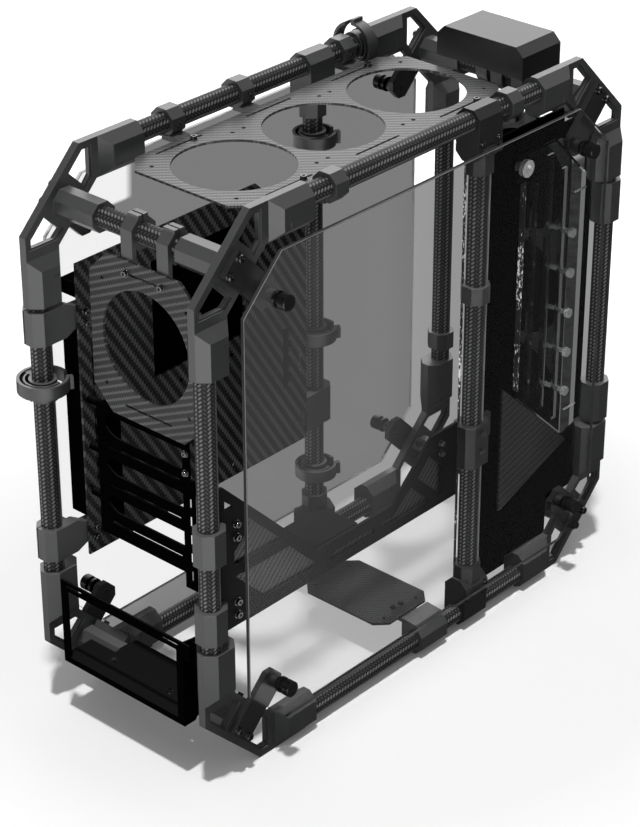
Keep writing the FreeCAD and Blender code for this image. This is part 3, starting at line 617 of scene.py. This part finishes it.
@dataclass
class Finishes:
    """All the finishes of the bench.

    Args:
        effects: the shared shader groups.
    """

    effects: Effects
    # Where a finish below sets a lighter tone for faces that look up, that tone is painted light.
    moulded: GrainFinish = GrainFinish(
        "moulded_grey", (0.019, 0.020, 0.020), (0.026, 0.027, 0.027), 0.38, 0.1, specular=0.75, painted_top_light=0.082,
        soften=0.0007)
    # Painted shade: a darker copy of the moulded grey for moulded pieces that look darker where they sit.
    shaded_moulded: GrainFinish = GrainFinish(
        "moulded_painted_shade", (0.008, 0.008, 0.008), (0.012, 0.012, 0.012), 0.35, 0.1, specular=0.45, painted_top_light=0.03)
    satin: GrainFinish = GrainFinish(
        "satin_black", (0.003, 0.003, 0.003), (0.005, 0.005, 0.005), 0.5, 0.1, specular=0.05, painted_top_light=0.014)
    sheet_metal: GrainFinish = GrainFinish(
        "black_coat", (0.0008, 0.0008, 0.0008), (0.0012, 0.0012, 0.0012), 0.45, 0.08, specular=0.0, painted_top_light=0.009)
    lid: GrainFinish = GrainFinish(
        "lid_grey", (0.003, 0.003, 0.0035), (0.005, 0.005, 0.0055), 0.42, 0.1, specular=0.55, painted_top_light=0.095)
    knob: GrainFinish = GrainFinish(
        "gloss_black", (0.004, 0.004, 0.004), (0.006, 0.006, 0.006), 0.22, 0.06, coat=0.3, specular=0.3)
    steel: GrainFinish = GrainFinish(
        "screw_steel", (0.09, 0.09, 0.092), (0.16, 0.16, 0.163), 0.14, 0.06, metallic=1.0)
    chrome: GrainFinish = GrainFinish(
        "chrome", (0.72, 0.72, 0.725), (0.85, 0.85, 0.86), 0.13, 0.05, metallic=0.75)
    # Painted glass edges: a dark band for the near pane is painted shade; a pale band for the far pane and bright
    # lines are painted highlight.
    painted_edge_shade: GrainFinish = GrainFinish(
        "painted_shade_glass_edge", (0.030, 0.030, 0.030), (0.045, 0.046, 0.046), 0.5, 0.1, specular=0.05, soften=0.0)
    painted_edge_highlight: GrainFinish = GrainFinish(
        "painted_highlight_glass_edge", (0.55, 0.553, 0.553), (0.65, 0.653, 0.653), 0.5, 0.1, specular=0.1, soften=0.0)
    painted_line_highlight: GrainFinish = GrainFinish(
        "painted_highlight_line", (0.19, 0.191, 0.191), (0.26, 0.262, 0.262), 0.5, 0.1, specular=0.1, soften=0.0)
    tube: WeaveFinish = WeaveFinish(
        "braid", 0.0030, (0.21, 0.213, 0.213), (0.06, 0.061, 0.061), (0.0008, 0.0008, 0.0008), coat=0.03, crown=2.5,
        specular=0.15)
    tray: WeaveFinish = WeaveFinish(
        "tray_twill", 0.0035, (0.085, 0.087, 0.088), (0.003, 0.003, 0.003), (0.002, 0.002, 0.002), turn=-12.0,
        crown=0.8, coat=0.1, specular=0.15)
    fan: WeaveFinish = WeaveFinish(
        "front_weave", 0.0023, (0.14, 0.143, 0.144), (0.03, 0.031, 0.031), (0.002, 0.002, 0.002), coat=0.1, turn=70.0,
        crown=1.5, specular=0.25)
    top_fan: WeaveFinish = WeaveFinish(
        "top_weave", 0.0021, (0.14, 0.143, 0.144), (0.042, 0.043, 0.044), (0.002, 0.002, 0.002), turn=90.0, crown=1.4,
        specular=0.45)
    pump: WeaveFinish = WeaveFinish(
        "fine_weave", 0.0012, (0.10, 0.102, 0.103), (0.035, 0.036, 0.036), (0.002, 0.002, 0.002), turn=90.0, coat=0.1)
    rear_fan: WeaveFinish = WeaveFinish(
        "rear_weave", 0.0021, (0.05, 0.051, 0.051), (0.03, 0.031, 0.031), turn=70.0, crown=1.5)
    inlay: WeaveFinish = WeaveFinish(
        "inlay_twill", 0.0021, (0.06, 0.061, 0.061), (0.006, 0.006, 0.006), turn=90.0, crown=0.8, specular=0.2)
    corner: WeaveFinish = WeaveFinish(
        "corner_weave", 0.0027, (0.055, 0.057, 0.057), (0.02, 0.021, 0.021), turn=60.0, crown=1.6, coat=0.1)
    painted_glints: GlintPaintFinish = GlintPaintFinish("frosted_painted_glints")
    glass_near: ClearFinish = ClearFinish("smoked_glass_near", (0.86, 0.865, 0.86), 1.12, painted_glare=0.017)
    # Painted shade: the far pane is the same smoked glass with a darker tint, for the darker look of what lies behind
    # it.
    glass_far: ClearFinish = ClearFinish("smoked_glass_far", (0.58, 0.585, 0.58), 1.12)
    block: ClearFinish = ClearFinish("clear_block", (0.52, 0.53, 0.53), 1.09)


class Frame:
    """Corner brackets, tubes, tees and clamps."""

    TUBE_RADIUS = 10.0 * MM
    MOULDED = (
        "near_upright_clamps", "far_front_clamps", "clamp_far_middle", "hangers", "top_plate_clamps", "tube_collars",
        "pump_clamp", "tube_carriers", "far_shelf_clamp", "cable_rings",
    )
    # Painted shade: these moulded pieces take the darker copy of the moulded finish.
    SHADED_PIECES = ("holder_arms", "clamp_near_middle", "tee_near_bottom", "tee_near_top")

    def __init__(self, finishes: Finishes) -> None:
        """Keeps the finishes."""
        self.finishes = finishes

    def dress(self) -> None:
        """Paints the moulded pieces and the braided tubes."""
        fx = self.finishes.effects
        moulded, shaded_moulded = self.finishes.moulded.make(fx), self.finishes.shaded_moulded.make(fx)
        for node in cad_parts:
            if node in self.SHADED_PIECES:
                paint(node, shaded_moulded)
            elif node.startswith(("bracket_", "tee_")) or node in self.MOULDED:
                paint(node, moulded)
            elif node.startswith(("tube_near", "tube_far", "upright_", "cross_tube_")):
                self._braid(node)

    def _braid(self, node: str) -> None:
        """Winds the braid round one tube.

        Args:
            node: the tube's node.
        """
        low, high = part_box(node)
        size = high - low
        axis = Axis(max(range(3), key=lambda k: size[k]))
        paint(node, self.finishes.tube.on_tube(self.finishes.effects, axis, (low + high) / 2, self.TUBE_RADIUS))


class Panels:
    """Plates, covers, glass and the clear block."""

    def __init__(self, finishes: Finishes) -> None:
        """Keeps the finishes."""
        self.finishes = finishes

    def dress(self) -> None:
        """Paints the sheets, the glass and the fasteners."""
        f, fx = self.finishes, self.finishes.effects
        paint("board_tray", f.tray.on_sheet(fx, Plane.YZ))
        paint("top_fan_plate", f.top_fan.on_sheet(fx, Plane.XY))
        paint("pump_plate", f.pump.on_sheet(fx, Plane.XY))
        paint("front_fan_plate", f.fan.on_sheet(fx, Plane.XZ))
        paint("rear_fan_plate", f.rear_fan.on_sheet(fx, Plane.XZ))
        paint("skirt_inlays", f.inlay.on_sheet(fx, Plane.YZ))
        paint("rear_corner_panel", f.corner.on_sheet(fx, Plane.YZ))
        satin, metal = f.satin.make(fx), f.sheet_metal.make(fx)
        for node in ("side_skirt", "far_shelf"):
            paint(node, satin)
        for node in ("slot_bracket", "psu_frame", "rear_cover", "back_cover", "rear_filter"):
            paint(node, metal)
        paint("box_cover", f.lid.make(fx))
        paint("thumb_knobs", f.knob.make(fx))
        paint("screws", f.steel.make(fx))
        chrome = f.chrome.make(fx)
        for node in ("plate_bolts", "port_plug"):
            paint(node, chrome)
        paint("glass_near", f.glass_near.make(fx))
        paint("glass_far", f.glass_far.make(fx))
        paint("distribution_plate", f.block.make(fx))
        for node in ("glass_near", "glass_far", "distribution_plate"):
            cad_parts[node].visible_shadow = False


class Stock:
    """Makes plain added pieces in the frame's own metres."""

    def __init__(self, slot: str, material: Material) -> None:
        """Keeps the slot name and the material of the pieces.

        Args:
            slot: the record's material slot.
            material: the material.
        """
        self.slot = slot
        self.material = material

    def keep(self, name: str, mesh: Mesh) -> Object:
        """Turns a mesh into a piece that rides on the bench.

        Args:
            name: the piece's name.
            mesh: its mesh.

        Returns:
            The new object.
        """
        piece = place_object(name, mesh)
        if not mesh.materials:
            mesh.materials.append(self.material)
        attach(piece, BODY)
        LOG.info("%s: %d faces", name, len(mesh.polygons))
        return piece

    def slab(self, name: str, outline: Sequence[tuple[float, float]], x0: float, x1: float,
             hole: Optional[Sequence[tuple[float, float]]] = None) -> Object:
        """A flat piece across X, with a hole of as many corners if asked.

        Args:
            name: the piece's name.
            outline: its (y, z) corners in mm, anticlockwise seen from +X.
            x0: its low face in mm.
            x1: its high face in mm.
            hole: the hole's corners in mm.

        Returns:
            The new object.
        """
        shape = bmesh.new()
        count = len(outline)
        rings = [[shape.verts.new((x * MM, y * MM, z * MM)) for y, z in points]
                 for points in (outline, hole or ()) if points for x in (x0, x1)]
        low, high = rings[0], rings[1]
        for i in range(count):
            j = (i + 1) % count
            shape.faces.new((low[i], low[j], high[j], high[i]))
        if hole:
            inner_low, inner_high = rings[2], rings[3]
            for i in range(count):
                j = (i + 1) % count
                shape.faces.new((inner_low[j], inner_low[i], inner_high[i], inner_high[j]))
                shape.faces.new((high[i], high[j], inner_high[j], inner_high[i]))
                shape.faces.new((low[j], low[i], inner_low[i], inner_low[j]))
        else:
            shape.faces.new(high)
            shape.faces.new(list(reversed(low)))
        bmesh.ops.recalc_face_normals(shape, faces=shape.faces)
        mesh = bpy.data.meshes.new(name)
        shape.to_mesh(mesh)
        shape.free()
        return self.keep(name, mesh)


@dataclass
class Ridges:
    """Rows of small round ridges, repeated by Geometry Nodes.

    Args:
        crests: ridges in a row.
        pitch: step along the row, in mm.
        radius: radius of a ridge, in mm.
        thick: thickness of a ridge, in mm.
        spread: largest change of size between rows.
        seed: seed of the change of size.
    """

    SIDES = 20

    crests: int = 12
    pitch: float = 1.9
    radius: float = 2.6
    thick: float = 1.1
    spread: float = 0.1
    seed: int = 7
    tree: Optional[Tree] = None
    inputs: dict = field(default_factory=dict)

    def _socket(self, name: str, kind: str) -> None:
        """Adds one named input to the tree."""
        self.inputs[name] = self.tree.interface.new_socket(name, in_out="INPUT", socket_type=kind).identifier

    def build(self) -> None:
        """Makes the node tree once."""
        self.tree = bpy.data.node_groups.new("ridge_rows", "GeometryNodeTree")
        self.tree.interface.new_socket("Geometry", in_out="INPUT", socket_type="NodeSocketGeometry")
        for name, kind in (("Crests", "NodeSocketInt"), ("Step", "NodeSocketVector"), ("Radius", "NodeSocketFloat"),
                           ("Thickness", "NodeSocketFloat"), ("Turn", "NodeSocketVector"),
                           ("Spread", "NodeSocketFloat"), ("Seed", "NodeSocketInt"),
                           ("Material", "NodeSocketMaterial")):
            self._socket(name, kind)
        self.tree.interface.new_socket("Geometry", in_out="OUTPUT", socket_type="NodeSocketGeometry")
        s = Sheet(self.tree)
        given, out = s.add("NodeGroupInput").outputs, s.add("NodeGroupOutput")
        row = s.fill(s.add("GeometryNodeMeshLine", mode="OFFSET"), Count=given["Crests"], Offset=given["Step"])
        ridge = s.fill(s.add("GeometryNodeMeshCylinder"), Vertices=self.SIDES, Radius=given["Radius"],
                       Depth=given["Thickness"])
        along = s.fill(s.add("GeometryNodeInstanceOnPoints"), Points=row.outputs[0], Instance=ridge.outputs[0],
                       Rotation=given["Turn"])
        size = s.add("FunctionNodeRandomValue", data_type="FLOAT")
        low, high = (k for k in size.inputs if k.enabled and k.name in ("Min", "Max"))
        s.feed(low, s.math("SUBTRACT", 1.0, given["Spread"]))
        s.feed(high, s.math("ADD", 1.0, given["Spread"]))
        s.fill(size, Seed=given["Seed"])
        result = next(k for k in size.outputs if k.enabled)
        rows = s.fill(s.add("GeometryNodeInstanceOnPoints"), Points=given["Geometry"], Instance=along.outputs[0],
                      Scale=result)
        real = s.add("GeometryNodeRealizeInstances")
        s.feed(real.inputs[0], rows.outputs[0])
        tinted = s.fill(s.add("GeometryNodeSetMaterial"), Geometry=real.outputs[0], Material=given["Material"])
        s.feed(out.inputs[0], tinted.outputs[0])

    def lay(self, name: str, stock: Stock, starts: Sequence[Sequence[float]], axis: Axis) -> Object:
        """Lays one row from each starting point, towards the axis's low end.

        Args:
            name: the piece's name.
            stock: gives the slot and the material.
            starts: the first ridge's place in each row, in mm.
            axis: the rows' direction.

        Returns:
            The new object.
        """
        if self.tree is None:
            self.build()
        seeds = bpy.data.meshes.new(name + "_starts")
        seeds.from_pydata([[c * MM for c in at] for at in starts], [], [])
        base = place_object(name + "_base", seeds)
        step = [0.0, 0.0, 0.0]
        step[axis.value] = -self.pitch * MM
        quarter = math.pi / 2
        turn = {Axis.X: (0.0, quarter, 0.0), Axis.Y: (quarter, 0.0, 0.0), Axis.Z: (0.0, 0.0, 0.0)}[axis]
        rows = base.modifiers.new("rows", "NODES")
        rows.node_group = self.tree
        for label, value in (("Crests", self.crests), ("Step", step), ("Radius", self.radius * MM),
                             ("Thickness", self.thick * MM), ("Turn", turn), ("Spread", self.spread),
                             ("Seed", self.seed), ("Material", stock.material)):
            rows[self.inputs[label]] = value
        graph = bpy.context.evaluated_depsgraph_get()
        mesh = bpy.data.meshes.new_from_object(base.evaluated_get(graph), depsgraph=graph)
        mesh.name = name
        base.modifiers.remove(rows)
        bpy.data.objects.remove(base)
        return stock.keep(name, mesh)


@dataclass
class Trim:
    """Small added pieces: glass edging, edge strips, threads and rods of the clear block.

    Args:
        finishes: the finishes.
        glass_y: lower and upper ends of the glass, in mm.
        glass_z: lower and upper ends of the glass, in mm.
        corner: the glass's corner cut, in mm.
        edge: thickness of the edging, in mm.
        glass_x: low faces of the near and the far glass, in mm.
        glass_thick: thickness of the glass, in mm.
        line_x: where the thin line begins and ends above a glass's low face, in mm.
        bolt_z: heights of the block's bolts, in mm.
        bolt_y: their place along the depth, in mm.
        bolt_x: where the threads begin, in mm.
        rod_starts: where the block's rods begin, in mm.
        strip_half: half the width of a clear strip, in mm.
        flap_x: faces of the flap behind the tray's slot, in mm.
        flap: its (y, z) corners in mm.
    """

    GAP = 0.03
    LINE = 0.05
    LINE_GAP = 0.01
    CUT_GROWTH = 0.59

    finishes: Finishes
    glass_y: tuple[float, float] = (-256.0, 266.0)
    glass_z: tuple[float, float] = (45.2, 533.0)
    corner: float = 48.3
    edge: float = 0.45
    glass_x: tuple[float, float] = (122.0, -126.0)
    glass_thick: float = 4.0
    line_x: tuple[float, float] = (3.2, 4.01)
    bolt_z: tuple[float, ...] = (384.0, 339.0, 293.5, 248.5, 203.0)
    bolt_y: float = 247.5
    bolt_x: float = 90.4
    rod_starts: tuple[tuple[float, float, float], ...] = ((99.3, 267.0, 428.0), (99.3, 267.0, 180.0))
    strip_half: float = 0.9
    flap_x: tuple[float, float] = (-92.2, -91.05)
    flap: tuple[tuple[float, float], ...] = ((20.0, 225.0), (34.0, 225.0), (34.0, 299.0), (20.0, 299.0))

    def _octagon(self, grow: float) -> list[tuple[float, float]]:
        """The glass outline, grown on all sides.

        Args:
            grow: how far it grows, in mm.

        Returns:
            Its (y, z) corners in mm.
        """
        y0, y1 = self.glass_y[0] - grow, self.glass_y[1] + grow
        z0, z1 = self.glass_z[0] - grow, self.glass_z[1] + grow
        c = self.corner + grow * self.CUT_GROWTH
        return [(y0 + c, z0), (y1 - c, z0), (y1, z0 + c), (y1, z1 - c),
                (y1 - c, z1), (y0 + c, z1), (y0, z1 - c), (y0, z0 + c)]

    def dress(self) -> None:
        """Makes all the pieces."""
        fx = self.finishes.effects
        edging = Stock("smoked_glass", self.finishes.painted_line_highlight.make(fx))
        dim = Stock("smoked_glass", self.finishes.painted_edge_shade.make(fx))
        pale = Stock("smoked_glass", self.finishes.painted_edge_highlight.make(fx))
        bright = Stock("chrome", self.finishes.chrome.make(fx))
        painted_glints = Stock("clear_block", self.finishes.painted_glints.make(fx))
        # The bands and lines round each glass carry painted shade and painted highlight in place of the light that
        # the edges catch.
        inner, outer = self._octagon(self.GAP), self._octagon(self.edge)
        for side, stock, low in zip(("near", "far"), (dim, pale), self.glass_x):
            band = stock.slab("edging_%s" % side, outer, low, low + self.glass_thick, inner)
            line = edging.slab("edge_line_%s" % side, self._octagon(self.edge + self.LINE), low + self.line_x[0],
                               low + self.line_x[1], self._octagon(self.edge + self.LINE_GAP))
            band.visible_shadow = line.visible_shadow = False
        self._strips(edging, painted_glints)
        flap = Stock("black_metal", self.finishes.sheet_metal.make(fx))
        flap.slab("tray_slot_flap", self.flap, *self.flap_x)
        Ridges().lay("bolt_threads", bright, [(self.bolt_x, self.bolt_y, z) for z in self.bolt_z], Axis.X)
        rods = Ridges(crests=8, pitch=2.4, radius=1.1, thick=2.0, spread=0.0)
        rods.lay("block_rods", bright, self.rod_starts, Axis.Y)

    def _strips(self, edging: Stock, painted_glints: Stock) -> None:
        """The clear strips beside the near middle upright and at the clear block's end.

        Args:
            edging: stock of the strips in the painted highlight tone.
            painted_glints: stock of the strips with painted glints.
        """
        half = self.strip_half
        for name, stock, x, y in (("strip_left", painted_glints, 95.6, 78.0), ("strip_right", edging, 112.6, 93.6)):
            stock.slab(name, self._upright(y - half, y + half, 62.0, 512.0), x - half, x + half)
        painted_glints.slab("block_end", self._upright(170.25, 170.95, 232.0, 464.0), 91.2, 97.8)

    @staticmethod
    def _upright(y0: float, y1: float, z0: float, z1: float) -> list[tuple[float, float]]:
        """The (y, z) corners of an upright strip, in mm.

        Args:
            y0: its low side.
            y1: its high side.
            z0: its lower end.
            z1: its upper end.

        Returns:
            The corners, anticlockwise seen from +X.
        """
        return [(y0, z0), (y1, z0), (y1, z1), (y0, z1)]


@dataclass
class Studio:
    """Floor, light and camera. Lengths are in metres.

    Args:
        floor_half: half the floor's side.
        floor_drop: how far the floor lies under the bench.
        floor_tone: the floor's tone near the bench.
        floor_far: its tone away from the bench.
        floor_reach: where the tone starts and ends its change.
        half_foot: half the width and depth of the bench's footprint.
        foot_rim: width of the change at the footprint's border.
        foot_share: share of set tone within the footprint, through glass.
        shade: tone of the floor through glass.
        shade_inside: the same within the footprint.
        shade_pale: the same on the pale patch.
        shade_end: the same behind the clear block's end.
        end_grain: noise scale there.
        ambient: soft light from all around.
        gloss: what glossy faces see of the surroundings.
        gloss_top: what they see along gloss_aim.
        gloss_aim: direction of the bright part of the surroundings.
        gloss_lobe: factor and offset that make the bright part's border.
        gloss_front: what faces see of the floor ahead of the bench.
        gloss_corner: what they see of the floor ahead and to the near side.
        gloss_back: what they see of the rest of the floor.
        ahead: where the floor ahead begins and is full, along the depth.
        aside: where the near side begins and is full, along the width.
        sun: strength of the overhead lamp.
        sun_angle: its apparent size, in degrees.
        sun_turn: its turn about X and Y, in degrees.
        target: the point that the camera and the softbox look at.
        azimuth: the camera's azimuth, in degrees.
        elevation: its elevation, in degrees.
        distance: its distance from the target.
        slide: its shift to the right and up.
        focal_px: focal length in pixels.
        centre_px: picture centre in pixels.
        frame_px: picture size in pixels.
        sensor: sensor width in mm.
    """

    floor_half: float = 9.0
    floor_drop: float = 0.0005
    floor_tone: float = 0.86
    floor_far: float = 1.18
    floor_reach: tuple[float, float] = (0.35, 0.85)
    half_foot: tuple[float, float] = (0.125, 0.31)
    foot_rim: float = 0.025
    foot_share: float = 0.5
    shade: float = 0.35
    shade_inside: float = 0.85
    shade_pale: float = 1.53
    shade_end: float = 0.12
    end_grain: float = 60.0
    ambient: float = 0.35
    gloss: float = 0.12
    gloss_top: float = 2.6
    gloss_aim: tuple[float, float, float] = (-0.584, 0.653, 0.482)
    gloss_lobe: tuple[float, float] = (2.5, -1.5)
    gloss_front: float = 1.2
    gloss_corner: float = 2.6
    gloss_back: float = 0.08
    ahead: tuple[float, float] = (-0.24, -0.56)
    aside: tuple[float, float] = (0.1, 0.6)
    sun: float = 2.3
    sun_angle: float = 3.0
    sun_turn: tuple[float, float] = (9.5, 8.0)
    target: tuple[float, float, float] = (0.0, 0.005, 0.290)
    azimuth: float = 41.817
    elevation: float = 28.785
    distance: float = 2.500346
    slide: tuple[float, float] = (-0.010322, -0.030506)
    focal_px: float = 2539.018
    centre_px: tuple[float, float] = (326.335, 399.182)
    frame_px: tuple[int, int] = (640, 827)
    sensor: float = 36.0

    def build(self) -> None:
        """Makes the camera, the floor, the world and the lamps."""
        self._camera()
        self._floor()
        self._world()
        self._overhead()
        self._softbox("front_softbox", (0.9, -2.6, 0.9), 1.2, 14.0)
        bpy.context.scene.view_settings.view_transform = "Standard"

    def _camera(self) -> None:
        """The camera at the picture's viewing angle."""
        a, e = math.radians(self.azimuth), math.radians(self.elevation)
        back = Vector((math.sin(a) * math.cos(e), -math.cos(a) * math.cos(e), math.sin(e)))
        right = Vector((math.cos(a), math.sin(a), 0.0))
        up = back.cross(right)
        data = bpy.data.cameras.new("camera")
        data.sensor_width = self.sensor
        data.lens = self.focal_px * self.sensor / max(self.frame_px)
        data.shift_x = (self.frame_px[0] / 2 - self.centre_px[0]) / max(self.frame_px)
        data.shift_y = (self.centre_px[1] - self.frame_px[1] / 2) / max(self.frame_px)
        data.clip_end = 60.0
        camera = place_object("camera", data)
        camera.location = Vector(self.target) + back * self.distance + right * self.slide[0] + up * self.slide[1]
        camera.rotation_mode = "QUATERNION"
        camera.rotation_quaternion = back.to_track_quat("Z", "Y")
        bpy.context.scene.camera = camera

    def _floor(self) -> None:
        """A plain pale floor; rays that crossed glass or reflect see painted glows of set strength in place of the
        lit floor.
        """
        mesh = bpy.data.meshes.new("floor")
        h = self.floor_half
        mesh.from_pydata([(-h, -h, 0), (h, -h, 0), (h, h, 0), (-h, h, 0)], [], [(0, 1, 2, 3)])
        floor = place_object("floor", mesh)
        floor.location.z = -self.floor_drop
        material, s, shader = start_material("floor_white")
        place = s.place()
        x, y = s.split(place)[:2]
        reach = s.fill(s.add("ShaderNodeVectorMath", operation="LENGTH"), Vector=place)
        distance = self._ramp(s, reach.outputs["Value"], *self.floor_reach)
        near_tone, far_tone = ((tone, tone, tone, 1.0) for tone in (self.floor_tone, self.floor_far))
        s.fill(shader, Base_Color=s.mix(distance, near_tone, far_tone), Roughness=0.9, Specular_IOR_Level=0.0)
        # Painted light: through glass the floor shows set glows, pale or dark by patch, and glossy faces see set
        # glows of the floor in place of its lit look.
        path = s.add("ShaderNodeLightPath")
        away = s.math("MAXIMUM", s.math("SUBTRACT", s.math("ABSOLUTE", x), self.half_foot[0]),
                      s.math("SUBTRACT", s.math("ABSOLUTE", y), self.half_foot[1]))
        outside = self._ramp(s, away, 0.0, self.foot_rim)
        level = s.blend(outside, self.shade_inside, s.blend(self._pale_patch(s, x, y), self.shade, self.shade_pale))
        mottled = s.math("MULTIPLY", s.noise(place, self.end_grain, 3.0), self.shade_end)
        level = s.blend(self._dark_strip(s, x, y), level, mottled)
        share = s.math("MULTIPLY", s.blend(outside, self.foot_share, 1.0), path.outputs["Is Transmission Ray"])
        through = self._over(s, shader.outputs[0], share, level)
        ahead = self._ramp(s, y, *self.ahead)
        front = s.blend(self._ramp(s, x, *self.aside), self.gloss_front, self.gloss_corner)
        uncrossed = s.math("SUBTRACT", 1.0, path.outputs["Is Transmission Ray"])
        mirrored = s.math("MULTIPLY", path.outputs["Is Glossy Ray"], uncrossed)
        surface = self._over(s, through, mirrored, s.blend(ahead, self.gloss_back, front))
        s.fill(material.node_tree.nodes["Material Output"], Surface=surface)
        mesh.materials.append(material)

    @staticmethod
    def _over(s: Sheet, under: Socket, share: Socket, level: Socket) -> Socket:
        """Lays a painted glow, a plain emission, over a shader.

        Args:
            s: the Sheet to build in.
            under: the shader below.
            share: share of the painted glow.
            level: strength of the painted glow.

        Returns:
            The mixed shader's socket.
        """
        painted_glow = s.fill(s.add("ShaderNodeEmission"), Strength=level)
        both = s.add("ShaderNodeMixShader")
        for socket, value in zip(both.inputs, (share, under, painted_glow.outputs[0])):
            s.feed(socket, value)
        return both.outputs[0]

    @staticmethod
    def _ramp(s: Sheet, value: Value, low: float, high: float) -> Socket:
        """Rises from 0 to 1 while a value goes from low to high.

        Args:
            s: the Sheet to build in.
            value: the value.
            low: where the ramp is 0.
            high: where it is 1.

        Returns:
            The ramp's socket.
        """
        rise = s.math("MULTIPLY_ADD", value, 1.0 / (high - low), -low / (high - low))
        rise.node.use_clamp = True
        return rise

    def _pale_patch(self, s: Sheet, x: Socket, y: Socket) -> Socket:
        """The floor that still looks white through the glass: beside the front and far to the left.

        Args:
            s: the Sheet to build in.
            x: floor place along the width.
            y: floor place along the depth.

        Returns:
            1 on the pale floor and 0 elsewhere.
        """
        front = self._ramp(s, y, 0.10, 0.02)
        left = self._ramp(s, s.math("MULTIPLY_ADD", x, 0.976, y), -0.290, -0.304)
        corner = s.math("MULTIPLY", self._ramp(s, x, -0.922, -0.914), self._ramp(s, y, 0.525, 0.535))
        return s.math("MAXIMUM", front, s.math("MULTIPLY", left, s.math("SUBTRACT", 1.0, corner)))

    def _dark_strip(self, s: Sheet, x: Socket, y: Socket) -> Socket:
        """The floor that looks dark behind the clear block's end.

        Args:
            s: the Sheet to build in.
            x: floor place along the width.
            y: floor place along the depth.

        Returns:
            1 on the strip and 0 elsewhere.
        """
        across = s.math("MULTIPLY_ADD", x, 1.378, y)
        sides = s.math("MULTIPLY", self._ramp(s, across, 0.3785, 0.3805), self._ramp(s, across, 0.4190, 0.4170))
        ends = s.math("MULTIPLY", self._ramp(s, x, -0.535, -0.525), self._ramp(s, x, -0.04, -0.06))
        return s.math("MULTIPLY", sides, ends)

    def _world(self) -> None:
        """White for the camera, plain grey for gloss, glass and soft light."""
        world = bpy.data.worlds.new("studio")
        world.use_nodes = True
        s = Sheet(world.node_tree)
        back = world.node_tree.nodes["Background"]
        path = s.add("ShaderNodeLightPath")
        ray = s.add("ShaderNodeTexCoord").outputs["Generated"]
        aim = s.add("ShaderNodeVectorMath", operation="DOT_PRODUCT")
        s.feed(aim.inputs[0], ray)
        s.feed(aim.inputs[1], self.gloss_aim)
        lobe = s.math("MULTIPLY_ADD", aim.outputs["Value"], *self.gloss_lobe)
        lobe.node.use_clamp = True
        gloss = s.blend(lobe, self.gloss, self.gloss_top)
        level = s.blend(path.outputs["Is Glossy Ray"], self.ambient, gloss)
        level = s.blend(path.outputs["Is Transmission Ray"], level, self.shade)
        level = s.blend(path.outputs["Is Camera Ray"], level, 1.0)
        s.fill(back, Strength=level, Color=WHITE)
        bpy.context.scene.world = world

    def _overhead(self) -> None:
        """The small high lamp that draws the floor shadow."""
        data = bpy.data.lights.new("overhead", "SUN")
        data.energy = self.sun
        data.angle = math.radians(self.sun_angle)
        place_object("overhead", data).rotation_euler = (*(math.radians(k) for k in self.sun_turn), 0.0)

    def _softbox(self, name: str, at: Sequence[float], side: float, power: float) -> None:
        """A square soft lamp that looks at the bench.

        Args:
            name: the lamp's name.
            at: its place.
            side: its side in metres.
            power: its power in watts.
        """
        data = bpy.data.lights.new(name, "AREA")
        data.shape = "SQUARE"
        data.size = side
        data.energy = power
        lamp = place_object(name, data)
        lamp.location = at
        lamp.rotation_mode = "QUATERNION"
        lamp.rotation_quaternion = (Vector(at) - Vector(self.target)).to_track_quat("Z", "Y")


def main() -> None:
    """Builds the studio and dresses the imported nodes."""
    logging.basicConfig(level=logging.INFO, format="%(name)s %(message)s")
    Studio().build()
    finishes = Finishes(Effects())
    for part in (Frame(finishes), Panels(finishes), Trim(finishes)):
        part.dress()


if __name__ == "__main__":
    main()
